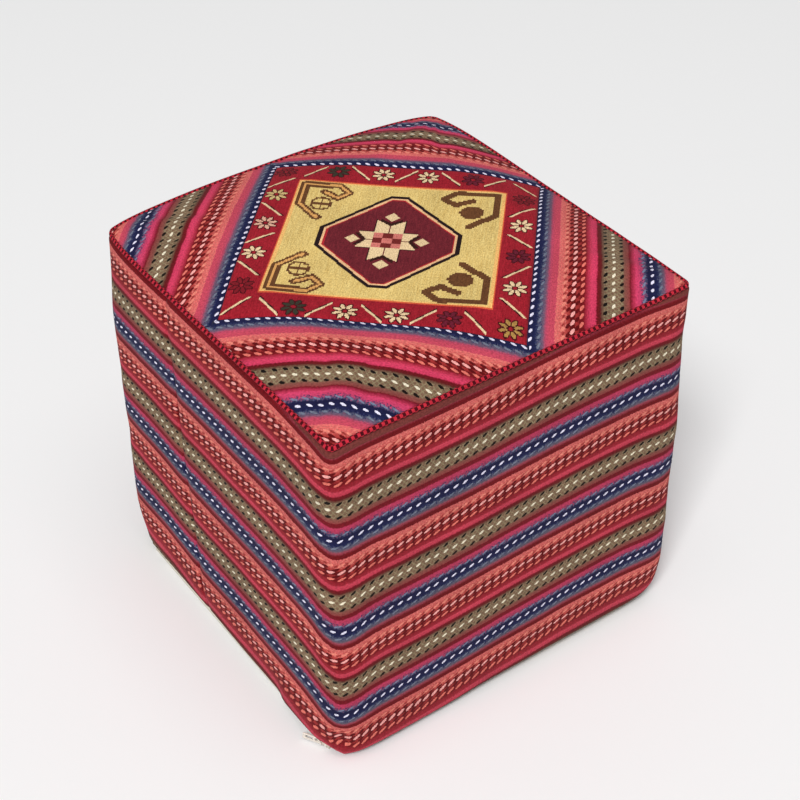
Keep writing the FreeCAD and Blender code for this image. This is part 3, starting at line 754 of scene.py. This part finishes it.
# %% [markdown]
# ## The five panels
# The swollen cloth is divided along its seams, and each panel gets its own cloth map. Stitches pull the
# cloth down a little on both sides of a seam. The corner panels use the striped cloth, woven a little
# tighter, and its white row of dashes runs along the medallion.

# %% Divide the top into panels
CLOTH = 2.4 * MM
SEAM_ROW = 98.6 * MM
TIGHTER = 1.08


def past_seam(place, panel):
    """How far a place on the flat cloth is beyond the seam of a corner panel."""
    out, distance = SEAMS[panel]
    return place.dot(out) - distance


def panel_of(place):
    """The panel that a place on the flat cloth belongs to."""
    furthest = max(SEAMS, key=lambda panel: past_seam(place, panel))
    return furthest if past_seam(place, furthest) > 0 else "medallion"


def stitch_pull(gap, depth, reach):
    """How far stitches pull the cloth in, at some distance from their seam."""
    return depth * max(1 - gap / reach, 0) ** 2


def lay_cloth(bm, place, repeats=(None, None)):
    """A UV map in metres from a place for each vertex, kept whole where a round trip closes."""
    layer = bm.loops.layers.uv.new("Weave")
    for face in bm.faces:
        spots = [list(place(loop.vert)) for loop in face.loops]
        for axis, repeat in enumerate(repeats):
            if repeat and max(s[axis] for s in spots) - min(s[axis] for s in spots) > repeat / 2:
                for spot in spots:
                    spot[axis] += repeat if spot[axis] < repeat / 2 else 0
        for loop, spot in zip(face.loops, spots):
            loop[layer].uv = spot


def take_panel(panel):
    """One panel of the top cloth, with its own cloth map."""
    bm = bmesh.new()
    bm.from_mesh(top.data)
    bm.verts.ensure_lookup_table()
    places = {vertex: flat_place[vertex.index] for vertex in bm.verts}
    others = []
    for face in bm.faces:
        middle = sum((places[vertex] for vertex in face.verts), Vector((0, 0))) / len(face.verts)
        if panel_of(middle) != panel:
            others.append(face)
    bmesh.ops.delete(bm, geom=others, context="FACES")
    for vertex in bm.verts:
        gap = min(abs(past_seam(places[vertex], side)) for side in SEAMS)
        vertex.co.z -= stitch_pull(gap, depth=1.0 * MM, reach=7 * MM)
        vertex.co = settle(vertex.co)
    if panel == "medallion":
        lay_cloth(bm, places.get)
        return new_piece("medallion_cloth", bm, MEDALLION)

    def striped_place(vertex):
        along = places[vertex].cross(SEAMS[panel][0]) * TIGHTER
        return along, SEAM_ROW + past_seam(places[vertex], panel)

    lay_cloth(bm, striped_place)
    return new_piece(f"corner_cloth_{panel}", bm, CORNER_STRIPED)


def thicken(piece):
    """Give a cloth its thickness, inward from its outside face."""
    solid = piece.modifiers.new("Thickness", "SOLIDIFY")
    solid.thickness = CLOTH
    solid.offset = -1


for panel in ("medallion", *SEAMS):
    piece = take_panel(panel)
    node = "medallion_panel" if panel == "medallion" else f"corner_panel_{panel}"
    thicken(piece)
    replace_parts(piece, node)
bpy.data.objects.remove(top)

# %% [markdown]
# ## The walls: places on their outline
# The walls are a band of striped cloth round the cube. Its outline is a square with rounded corners. The
# weave needs to know how far round it each place is, and the foot and the piping need the same outline
# drawn in, so both are worked out by formula.

# %% Measure round the walls
def around(x, y):
    """How far round the walls a place is, from the left wall's far end."""
    dx = x - clamp(x, -STRAIGHT, STRAIGHT)
    dy = y - clamp(y, -STRAIGHT, STRAIGHT)
    corner = 2 * STRAIGHT + BEND
    if dx and dy:
        turn = atan2(dy, dx) / (pi / 2) + 2
        return (2 * STRAIGHT + int(turn) * corner + (turn - int(turn)) * BEND) % ROUND_TRIP
    if dx < 0:
        return STRAIGHT - y
    if dy < 0:
        return corner + x + STRAIGHT
    if dx > 0:
        return 2 * corner + y + STRAIGHT
    return 3 * corner + STRAIGHT - x


def drawn_in(x, y, inset):
    """The place on an outline that lies a little inside the walls."""
    limit = HALF - max(inset, CORNER_ROUND)
    x_in = clamp(x, -limit, limit)
    y_in = clamp(y, -limit, limit)
    if inset >= CORNER_ROUND:
        return x_in, y_in
    away = Vector((x - x_in, y - y_in)).normalized() * (CORNER_ROUND - inset)
    return x_in + away.x, y_in + away.y


print("the front wall starts", around(-STRAIGHT, -HALF), "m round the outline")

# %% [markdown]
# ## The walls: their cloth
# The band is grown from its outline, row by row: down the walls, round the foot and flat under the base,
# where it turns under. Above, a narrow row tucks in behind the piping. Each vertex keeps how far round and
# how far down it is, for the weave, which is eased in at the foot.

# %% Grow the wall cloth
PIPING_RADIUS = 2.4 * MM
PIPING_INSET = 3.3 * MM
PIPING_LEVEL = PIPING_TOP - 3.0 * MM
TUCK = 2.5 * MM
BASE_ROUND = 20 * MM
FIRST_FLAT = 25 * MM
TURN_UNDER = 34 * MM
FOOT_HOLD = 16 * MM
WALL_CUTS = 50
ROW = 7 * MM
FOOT_ROWS = 6
FOOT_START = 45 * MM
FOOT_EASE = 0.6


def wall_rows():
    """The rows of the wall under its top: how far each is drawn in, and its height."""
    upright = ceil((BAND_TOP - BASE_ROUND) / ROW)
    rows = [(0, BAND_TOP - (BAND_TOP - BASE_ROUND) * step / upright) for step in range(1, upright + 1)]
    for step in range(1, FOOT_ROWS + 1):
        angle = step / FOOT_ROWS * pi / 2
        rows.append((BASE_ROUND * (1 - cos(angle)), BASE_ROUND * (1 - sin(angle))))
    return rows + [(FIRST_FLAT, 0), (TURN_UNDER, 0)]


def grow(bm, edges):
    """Extrude some edges, and give the new edges and the new vertices."""
    made = bmesh.ops.extrude_edge_only(bm, edges=edges)["geom"]
    new_edges = [item for item in made if isinstance(item, bmesh.types.BMEdge)]
    return new_edges, {item for item in made if isinstance(item, bmesh.types.BMVert)}


def round_off(bm, geom, radius, segments=2, affect="EDGES"):
    bmesh.ops.bevel(bm, geom=geom, offset=radius, segments=segments, profile=0.5, affect=affect, material=-1)


def wall_cloth():
    bm = bmesh.new()
    bmesh.ops.create_grid(bm, x_segments=1, y_segments=1, size=HALF)
    round_off(bm, bm.verts[:], CORNER_ROUND, segments=8, affect="VERTICES")
    bmesh.ops.delete(bm, geom=bm.faces[:], context="FACES_ONLY")
    long_sides = [edge for edge in bm.edges if edge.calc_length() > CORNER_ROUND]
    bmesh.ops.subdivide_edges(bm, edges=long_sides, cuts=WALL_CUTS)
    way = bm.verts.layers.float.new("around")
    drop = bm.verts.layers.float.new("down")
    edges, above = grow(bm, bm.edges[:])
    length = PIPING_TOP - BAND_TOP
    for vertex in bm.verts:
        vertex.co.z = BAND_TOP
        vertex[way] = around(vertex.co.x, vertex.co.y)
        vertex[drop] = length
    for vertex in set(bm.verts) - above:
        vertex.co.x, vertex.co.y = drawn_in(vertex.co.x, vertex.co.y, PIPING_INSET)
        vertex.co.z = PIPING_LEVEL - PIPING_RADIUS / 2
        vertex[drop] -= TUCK
    last = (0, BAND_TOP)
    for inset, height in wall_rows():
        step = sqrt((inset - last[0]) ** 2 + (height - last[1]) ** 2)
        length += step * (FOOT_EASE if height < FOOT_START else 1)
        edges, below = grow(bm, edges)
        for vertex in below:
            beside = [edge.other_vert(vertex) for edge in vertex.link_edges]
            vertex[way] = next(other[way] for other in beside if other in above)
            vertex[drop] = length
            vertex.co.x, vertex.co.y = drawn_in(vertex.co.x, vertex.co.y, inset)
            vertex.co.z = height
        above = below
        last = (inset, height)
    bmesh.ops.remove_doubles(bm, verts=bm.verts, dist=0.01 * MM)
    bmesh.ops.recalc_face_normals(bm, faces=bm.faces)
    outermost = max(bm.faces, key=lambda face: face.calc_center_median().x * face.calc_area())
    if outermost.normal.x < 0:
        bmesh.ops.reverse_faces(bm, faces=bm.faces)
    return bm


bm = wall_cloth()
held = [v.index for v in bm.verts if v.co.z > BAND_TOP - MM or v.co.z < FOOT_HOLD]
walls = new_piece("wall_cloth", bm, STRIPED)
print(len(held), "vertices are held at the piping and the foot")

# %% [markdown]
# ## Stuff the walls
# The same pressure swells the walls a little between the piping and the foot. Then noise adds the shallow
# waves of a hand-sewn cover, stronger near the upright edges and none at the piping or the floor. Last, the
# walls settle like the top.

# %% Swell the walls
inflate(walls, held)
for vertex in walls.data.vertices:
    place = vertex.co
    hold = clamp((BAND_TOP - place.z) / (30 * MM)) * clamp((place.z - 6 * MM) / (20 * MM))
    near_edge = clamp((min(abs(place.x), abs(place.y)) - 120 * MM) / (80 * MM))
    wave = noise.noise(place * 16) * 0.9 + noise.noise(place * 40) * 0.45
    vertex.co = settle(place + vertex.normal * (wave * MM * hold * (0.7 + 0.8 * near_edge)))
print("lowest place on the walls:", min(vertex.co.z for vertex in walls.data.vertices))

# %% [markdown]
# ## The mouth for the zip
# The band is sewn from two lengths. One seam shows on the left wall and leans a little, and the other is on
# the back wall. Along the foot of the left wall the cloth stops at a lip that is folded in and hides the
# zip. Planes cut the sheet there, because a boolean works best on a closed mesh.

# %% Cut the seams and the mouth
WALL = 150 * MM
LIP = 11.3 * MM
LIP_INSET = 3.2 * MM
FOLD_INSET = 4.8 * MM
FOLD_TOP = 26 * MM
MOUTH_CUT_TOP = 40 * MM
ZIP_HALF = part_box("zip_tape_wall")[1].y
SEAM_LEAN = 0.05
SEAM_FOOT = 47 * MM
SEAM_BACK = -120 * MM


def on_left(place):
    return place.x < -WALL


def on_back(place):
    return place.y > WALL


def low_on_left(place):
    return on_left(place) and place.z < MOUTH_CUT_TOP


def in_mouth(place):
    return on_left(place) and place.z < LIP and abs(place.y) < ZIP_HALF


def on_lip(place):
    return on_left(place) and abs(place.z - LIP) < 0.5 * MM and abs(place.y) < ZIP_HALF + MM


def cut_part(bm, wanted, at, normal):
    """Cut only those faces of a mesh whose middle passes a test."""
    faces = [face for face in bm.faces if wanted(face.calc_center_median())]
    part = list({item for face in faces for item in (face, *face.edges, *face.verts)})
    bmesh.ops.bisect_plane(bm, geom=part, dist=0.02 * MM, plane_co=at, plane_no=normal)


def cut_walls():
    bm = bmesh.new()
    bm.from_mesh(walls.data)
    cut_part(bm, on_left, (0, SEAM_FOOT, 0), (0, 1, -SEAM_LEAN))
    cut_part(bm, on_back, (SEAM_BACK, 0, 0), (1, 0, 0))
    for end in (-ZIP_HALF, ZIP_HALF):
        cut_part(bm, low_on_left, (0, end, 0), (0, 1, 0))
    cut_part(bm, on_left, (0, 0, LIP), (0, 0, 1))
    mouth = [face for face in bm.faces if in_mouth(face.calc_center_median())]
    bmesh.ops.delete(bm, geom=mouth, context="FACES")
    lip = [edge for edge in bm.edges if edge.is_boundary and all(on_lip(vertex.co) for vertex in edge.verts)]
    for vertex in {vertex for edge in lip for vertex in edge.verts}:
        vertex.co.x = min(vertex.co.x, LIP_INSET - HALF)
    for height in (LIP, FOLD_TOP):
        lip, folded = grow(bm, lip)
        for vertex in folded:
            vertex.co.x = FOLD_INSET - HALF
            vertex.co.z = height
    return bm


print("the mouth is", round(2 * ZIP_HALF / MM), "mm long under a lip at", round(LIP / MM, 1), "mm")

# %% [markdown]
# ## The two bands
# Each band keeps its share of the cut walls, and stitches pull the cloth in at its seams. On a sewn cover
# the stripes ride up along the walls and dip at the front corner, where the cloth is eased round. Bending
# the mesh would bend the cover too, so only the cloth map is moved.

# %% Take the two bands
SEAM_DEPTH = 1.5 * MM
SEAM_REACH = 9 * MM


def seam_at(z):
    return SEAM_FOOT + SEAM_LEAN * z


def ride_up(way, drop):
    """How far the long band's stripes ride up, by the way round from the front corner and down."""
    past, down = (way - 2 * STRAIGHT - BEND / 2) / MM, drop / MM
    rise = 4.6 - 6.8 * ease(past, -100, 20) + 5.2 * ease(past, 100, 290) - 4 * ease(past, 330, 390)
    rise -= 6 * exp(-(past / 22) ** 2) * ease(down, 5, 110)
    near_foot = ease(down, 100, 360) * (1 - ease(abs(past), 60, 180))
    return (rise - near_foot * (2.4 + 3.5 * exp(-(past / 30) ** 2))) * MM


def short_rise(drop, y):
    """How far the short band's stripes ride up: more away from the seam, but not at the foot."""
    away = ease(y, 55 * MM, 130 * MM) * (0.018 * drop - 0.5 * MM)
    return 0.004 * drop + 5 * MM + away - 6 * MM * ease(drop, 325 * MM, 380 * MM)


def take_band(name, short):
    """One of the two bands, with its own cloth map."""
    bm = cut_walls()
    way = bm.verts.layers.float["around"]
    drop = bm.verts.layers.float["down"]
    others = []
    for face in bm.faces:
        middle = face.calc_center_median()
        in_short = middle.x < SEAM_BACK and middle.y > seam_at(middle.z)
        if in_short != short:
            others.append(face)
    bmesh.ops.delete(bm, geom=others, context="FACES")
    for vertex in bm.verts:
        x, y, z = vertex.co
        if on_left(vertex.co):
            vertex.co.x += stitch_pull(abs(y - seam_at(z)), SEAM_DEPTH, SEAM_REACH)
        elif on_back(vertex.co):
            vertex.co.y -= stitch_pull(abs(x - SEAM_BACK), SEAM_DEPTH, SEAM_REACH)

    def striped_place(vertex):
        rise = short_rise(vertex[drop], vertex.co.y) if short else ride_up(vertex[way], vertex[drop])
        return vertex[way], vertex[drop] + rise

    lay_cloth(bm, striped_place, (ROUND_TRIP, None))
    return new_piece(name, bm, STRIPED)


for node, short in (("side_band_long", False), ("side_band_short", True)):
    piece = take_band(f"{node}_cloth", short)
    thicken(piece)
    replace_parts(piece, node)
bpy.data.objects.remove(walls)

# %% [markdown]
# ## The piping
# A round cord in a cloth tube follows the top edge. A bevelled curve would need its cloth map made
# afterwards. Here a circle is pushed along each straight side and spun through each corner, then the last
# ring is joined to the first.

# %% Run the piping round the top edge
SIDE_STEPS = 60
CORNER_STEPS = 8


def ring_tube(radius, sides):
    """A tube of a radius that follows the top edge."""
    bm = bmesh.new()
    start = Matrix.Translation((-HALF + PIPING_INSET, STRAIGHT, PIPING_LEVEL))
    stand = start @ Matrix.Rotation(pi / 2, 4, "X")
    bmesh.ops.create_circle(bm, segments=sides, radius=radius, matrix=stand)
    ring = bm.verts[:] + bm.edges[:]
    heading = Vector((0, -1, 0))
    for x, y in ((-1, -1), (1, -1), (1, 1), (-1, 1)):
        pivot = dict(cent=(x * STRAIGHT, y * STRAIGHT, PIPING_LEVEL), axis=(0, 0, 1))
        stride = heading * (2 * STRAIGHT / SIDE_STEPS)
        ring = bmesh.ops.spin(bm, geom=ring, dvec=stride, angle=0, steps=SIDE_STEPS, **pivot)["geom_last"]
        ring = bmesh.ops.spin(bm, geom=ring, angle=pi / 2, steps=CORNER_STEPS, **pivot)["geom_last"]
        heading = Matrix.Rotation(pi / 2, 3, "Z") @ heading
    bmesh.ops.remove_doubles(bm, verts=bm.verts, dist=0.05 * MM)
    bmesh.ops.recalc_face_normals(bm, faces=bm.faces)
    return bm


def piping_place(vertex):
    """How far along the tube and how far round it a vertex is."""
    x, y = drawn_in(vertex.co.x, vertex.co.y, 0)
    away = Vector((abs(vertex.co.x) - STRAIGHT, abs(vertex.co.y) - STRAIGHT))
    reach = away.length if min(away) > 0 else max(away)
    turn = atan2(vertex.co.z - PIPING_LEVEL, reach - CORNER_ROUND + PIPING_INSET) + pi
    return around(x, y), turn * PIPING_RADIUS


bm = ring_tube(PIPING_RADIUS, sides=16)
lay_cloth(bm, piping_place, (ROUND_TRIP, 2 * pi * PIPING_RADIUS))
filler = ring_tube(PIPING_RADIUS - MM, sides=10)
for vertex in bm.verts[:] + filler.verts[:]:
    vertex.co = settle(vertex.co)
    vertex.co.z += noise.noise(Vector((vertex.co.x, vertex.co.y, 0)) * 22) * 0.5 * MM
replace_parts(new_piece("top_piping_cloth", bm, PIPED), "top_piping")
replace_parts(new_piece("piping_filler", filler, plain["cotton_cord"]), "piping_cord")

# %% [markdown]
# ## The underside
# Plain dark canvas closes the base, sewn to the turned-under walls, with a tongue that reaches the zip. It
# lies flat on the floor, so one grid is enough, with its outside face down and its thickness upward.

# %% Cut the base canvas
canvas_low, canvas_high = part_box("base_panel")
canvas_size = (canvas_high.x - canvas_low.x, 2 * (HALF - TURN_UNDER) - MM, 1)
bm = bmesh.new()
bmesh.ops.create_grid(bm, x_segments=40, y_segments=40, size=0.5)
bmesh.ops.scale(bm, vec=canvas_size, verts=bm.verts)
bmesh.ops.translate(bm, vec=((canvas_high.x + canvas_low.x) / 2, 0, 0), verts=bm.verts)
bmesh.ops.reverse_faces(bm, faces=bm.faces)
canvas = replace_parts(new_piece("base_canvas_sheet", bm, plain["base_canvas"]), "base_panel")
thicken(canvas)

# %% [markdown]
# ## The cushion inside
# Under the cover is a cotton case filled with foam and wadding. A bevelled cube has no faces to bend, so a
# grid on a cube is drawn on to a rounded block, and the top of the case follows the swell of the cover. The
# foam blocks are cut the same way with a smaller radius.

# %% Make the cushion and its foam
CASE_GAP = 4 * MM
CASE_ROUND = 36 * MM
WADDING_GAP = 7 * MM
WADDING_ROUND = 8 * MM
FOAM_ROUND = 14 * MM
DOME_START = 15 * MM


def add_box(bm, low, high):
    """A box between two corners, added to a mesh."""
    made = bmesh.ops.create_cube(bm, size=1)["verts"]
    bmesh.ops.scale(bm, vec=high - low, verts=made)
    bmesh.ops.translate(bm, vec=(low + high) / 2, verts=made)
    return made


def soft_block(low, high, rounding, cuts):
    """A block between two corners with round edges, on an even grid."""
    bm = bmesh.new()
    add_box(bm, low, high)
    bmesh.ops.subdivide_edges(bm, edges=bm.edges[:], cuts=cuts, use_grid_fill=True)
    for vertex in bm.verts:
        core = Vector([clamp(c, a + rounding, b - rounding) for c, a, b in zip(vertex.co, low, high)])
        vertex.co = core + (vertex.co - core).normalized() * rounding
    return bm


def domed_block(low, high, under, rounding, cuts):
    """A soft block whose top follows the swell of the cover, some way under it."""
    crown = swell(0, 0)
    bm = soft_block(low, Vector((high.x, high.y, crown - under)), rounding, cuts)
    for vertex in bm.verts:
        drop = crown - swell(vertex.co.x, vertex.co.y)
        vertex.co.z -= drop * ease(vertex.co.z, low.z, high.z - DOME_START)
    return bm


inside = Vector((1, 1, 0)) * MM
case_low, case_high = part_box("inner_case_base")
bm = domed_block(case_low + inside, case_high - inside, CASE_GAP, CASE_ROUND, cuts=40)
cushion = new_piece("inner_cushion", bm, plain["case_cotton"])
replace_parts(cushion, "inner_case_base", "inner_case_wall", "inner_case_top")
wadding_low, wadding_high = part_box("wadding_top")
bm = domed_block(wadding_low, wadding_high, WADDING_GAP, WADDING_ROUND, cuts=30)
pad = new_piece("wadding_pad", bm, plain["wadding"])
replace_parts(pad, "wadding_top")
FOAMS = {"foam_base_pad": "firm_foam", "foam_core": "firm_foam", "foam_seat_pad": "soft_foam"}
for name, foam in FOAMS.items():
    low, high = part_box(name)
    block = new_piece(f"{name}_block", soft_block(low, high, FOAM_ROUND, cuts=12), plain[foam])
    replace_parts(block, name)

# %% [markdown]
# ## The zip's coils
# Each side of the zip is a row of nylon teeth on a spine. Real teeth are turns of one thread, but at this
# size only their beat is seen, so copies of one rounded block are set along the zip.

# %% Set the teeth along the zip
ZIP_PLANE = (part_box("zip_tape_wall")[0].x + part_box("zip_tape_wall")[1].x) / 2
TOOTH = 1.0 * MM
TOOTH_PITCH = 1.5 * MM
SPINE_HALF = 0.4 * MM
SPINE_INSET = 0.5 * MM


def add_block(bm, low, high, rounding):
    """A box with its edges rounded, added to a mesh."""
    made = add_box(bm, Vector(low), Vector(high))
    round_off(bm, list({edge for vertex in made for edge in vertex.link_edges}), rounding)


for node in ("zip_coil_wall", "zip_coil_base"):
    low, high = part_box(node)
    bm = bmesh.new()
    add_block(bm, low, (high.x, low.y + TOOTH, high.z), 0.25 * MM)
    tooth = bm.verts[:] + bm.edges[:] + bm.faces[:]
    for step in range(1, int((high.y - low.y) / TOOTH_PITCH)):
        copy = bmesh.ops.duplicate(bm, geom=tooth)["geom"]
        moved = [item for item in copy if isinstance(item, bmesh.types.BMVert)]
        bmesh.ops.translate(bm, vec=(0, step * TOOTH_PITCH, 0), verts=moved)
    spine_low = (ZIP_PLANE - SPINE_HALF, low.y, low.z + SPINE_INSET)
    spine_high = (ZIP_PLANE + SPINE_HALF, high.y, high.z - SPINE_INSET)
    add_block(bm, spine_low, spine_high, 0.2 * MM)
    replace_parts(new_piece(f"{node}_teeth", bm, plain["zip_coil"]), node)

# %% [markdown]
# ## The zip's slider
# The slider is cast: two plates on either side of the coils, a divider between them, and a bail on the
# outside that holds the pull. Rounded blocks that run into one another are enough at this size.

# %% Cast the slider
PLATE = 0.9 * MM
PLATES_APART = 4.6 * MM
DIVIDER_HALF = 0.35 * MM
BAIL_HALF = 4 * MM
slider_low, slider_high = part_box("zip_slider")
middle = (slider_low + slider_high) / 2
outer, inner = slider_high.x - PLATES_APART, slider_high.x
ends = (middle.y - BAIL_HALF, middle.y + BAIL_HALF - PLATE)
bail_low, bail_high = middle.z - MM, middle.z + MM
bm = bmesh.new()
for x in (outer, inner - PLATE):
    add_block(bm, (x, slider_low.y, slider_low.z), (x + PLATE, slider_high.y, slider_high.z), 0.3 * MM)
divider_low = (outer + 0.5 * MM, slider_low.y, middle.z - DIVIDER_HALF)
divider_high = (inner - 0.5 * MM, slider_high.y, middle.z + DIVIDER_HALF)
add_block(bm, divider_low, divider_high, 0.1 * MM)
for y in ends:
    add_block(bm, (slider_low.x, y, bail_low), (outer + 0.4 * MM, y + PLATE, bail_high), 0.25 * MM)
bar_high = (slider_low.x + PLATE, ends[1] + PLATE, bail_high)
add_block(bm, (slider_low.x, ends[0], bail_low), bar_high, 0.25 * MM)
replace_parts(new_piece("zip_slider_cast", bm, plain["zip_metal"], "slider_body"), "zip_slider")

# %% [markdown]
# ## The zip's pull
# The pull is a flat tab that shows below the lip, with an eye for the bail, a window and a round end. A
# grid of five by three faces gives both openings: two faces are left out, and the lines of the grid are
# moved to their places. It is turned to the angle at which it rests.

# %% Cast the pull
PULL_ALONG = (-0.7, 0.7, 6.7, 8.8, 16.8, 20.0)
PULL_ACROSS = (-3.8, -1.9, 1.9, 3.8)
PULL_THICK = 1.4 * MM
PULL_REST = radians(30)
COLUMNS = len(PULL_ALONG) - 1
ROWS = len(PULL_ACROSS) - 1
pivot = Vector(next(joint for joint in frame["joints"] if joint["name"] == "pull_swing")["pos_m"])
bm = bmesh.new()
bmesh.ops.create_grid(bm, x_segments=COLUMNS, y_segments=ROWS, size=1)
middles = {face: face.calc_center_median() for face in bm.faces}
holes = [face for face, at in middles.items() if abs(at.y) < 0.1 and round(at.x * COLUMNS) in (-2, 2)]
bmesh.ops.delete(bm, geom=holes, context="FACES")
for vertex in bm.verts:
    column = round((vertex.co.x + 1) / 2 * COLUMNS)
    row = round((vertex.co.y + 1) / 2 * ROWS)
    vertex.co = Vector((0, PULL_ALONG[column], PULL_ACROSS[row])) * MM
tips = [v for v in bm.verts if v.co.y > 19 * MM and abs(v.co.z) > 3 * MM]
round_off(bm, tips, radius=2 * MM, segments=4, affect="VERTICES")
bmesh.ops.solidify(bm, geom=bm.faces[:], thickness=PULL_THICK)
bmesh.ops.translate(bm, vec=(-sum(v.co.x for v in bm.verts) / len(bm.verts), 0, 0), verts=bm.verts)
bmesh.ops.recalc_face_normals(bm, faces=bm.faces)
rims = [edge for edge in bm.edges if edge.calc_face_angle(0) > radians(40)]
round_off(bm, rims, radius=0.35 * MM)
at_rest = Matrix.Translation(pivot) @ Matrix.Rotation(PULL_REST, 4, "Z")
bmesh.ops.transform(bm, matrix=at_rest, verts=bm.verts)
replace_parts(new_piece("zip_pull_cast", bm, plain["zip_metal"], "pull_body"), "zip_pull")

# %% [markdown]
# ## Finish the rest of the frame
# The tapes, the end stops and the wadding round the walls keep the frame's own shape, and only their finish
# is changed.

# %% Give every other node its finish
KEPT = {
    "zip_tape_wall": "zip_tape", "zip_tape_base": "zip_tape",
    "zip_end_stops": "zip_metal", "wadding_wall": "wadding",
}
for name, finish in KEPT.items():
    nodes[name].data.materials.clear()
    nodes[name].data.materials.append(plain[finish])
print("kept as engineered:", ", ".join(KEPT))

# %% [markdown]
# ## Floor and light
# The pouf stands on a pale floor in soft studio light: an even sky, a broad lamp high in front on the left,
# which lets the shadow fall to the right and back, and a weaker one overhead. A sun would make the shadow
# too sharp, so both lamps are wide areas.

# %% Set the floor and the light
FLOOR_HALF = 8
SKY = 0.27
LIT_PLACE = Vector((0, 0, 0.2))
bm = bmesh.new()
bmesh.ops.create_grid(bm, x_segments=1, y_segments=1, size=FLOOR_HALF)
floor_mesh = bpy.data.meshes.new("floor")
bm.to_mesh(floor_mesh)
bm.free()
floor = bpy.data.objects.new("floor", floor_mesh)
scene.collection.objects.link(floor)
paint = new_material("floor", Base_Color=(0.94, 0.94, 0.94, 1.0), Roughness=1.0, Specular_IOR_Level=0.0)[0]
floor.data.materials.append(paint)
floor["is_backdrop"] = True

world = bpy.data.worlds.new("studio")
world.use_nodes = True
world.node_tree.nodes["Background"].inputs["Color"].default_value = (1.0, 1.0, 1.0, 1.0)
world.node_tree.nodes["Background"].inputs["Strength"].default_value = SKY
scene.world = world


def area_lamp(name, place, size, power):
    """A square lamp that faces the pouf."""
    lamp = bpy.data.lights.new(name, "AREA")
    lamp.size = size
    lamp.energy = power
    holder = bpy.data.objects.new(name, lamp)
    scene.collection.objects.link(holder)
    holder.location = place
    holder.rotation_euler = (LIT_PLACE - Vector(place)).to_track_quat("-Z", "Y").to_euler()
    print(name, "lamp of", power, "W at", place)


area_lamp("key", (-7.6, -6.3, 11.6), 3.6, 1470)
area_lamp("fill", (-0.4, -1.8, 7.7), 5.0, 152)
scene.view_settings.view_transform = "Standard"

# %% [markdown]
# ## Camera
# The camera looks down at the front corner, as in the photograph. It was fitted to the pouf's edges there:
# two angles and a slight roll turn it, and it stands back from the origin and is shifted in its own plane.

# %% Set the camera
AZIMUTH = radians(-35.13)
ELEVATION = radians(38.5)
ROLL = radians(-0.35)
DISTANCE = 1816.7 * MM
SHIFT_RIGHT = 8.4 * MM
SHIFT_UP = 178.6 * MM
back = Vector((sin(AZIMUTH) * cos(ELEVATION), -cos(AZIMUTH) * cos(ELEVATION), sin(ELEVATION)))
right = Vector((cos(AZIMUTH), sin(AZIMUTH), 0))
up = back.cross(right)
rolled_right = right * cos(ROLL) + up * sin(ROLL)
rolled_up = up * cos(ROLL) - right * sin(ROLL)
camera = bpy.data.objects.new("camera", bpy.data.cameras.new("camera"))
scene.collection.objects.link(camera)
camera.data.sensor_width = 36
camera.data.lens = 76.1
camera.data.dof.use_dof = False
spot = rolled_right * SHIFT_RIGHT + rolled_up * SHIFT_UP + back * DISTANCE
turned = Matrix((rolled_right, rolled_up, back)).transposed().to_4x4()
camera.matrix_world = Matrix.Translation(spot) @ turned
scene.camera = camera
print("camera at", spot)

# %% [markdown]
# ## Size
# The dressed model should stay close to the box of the engineered one, so the dressed model's box is
# printed.

# %% Print the dressed box
low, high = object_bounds()
print("dressed box", low, high)
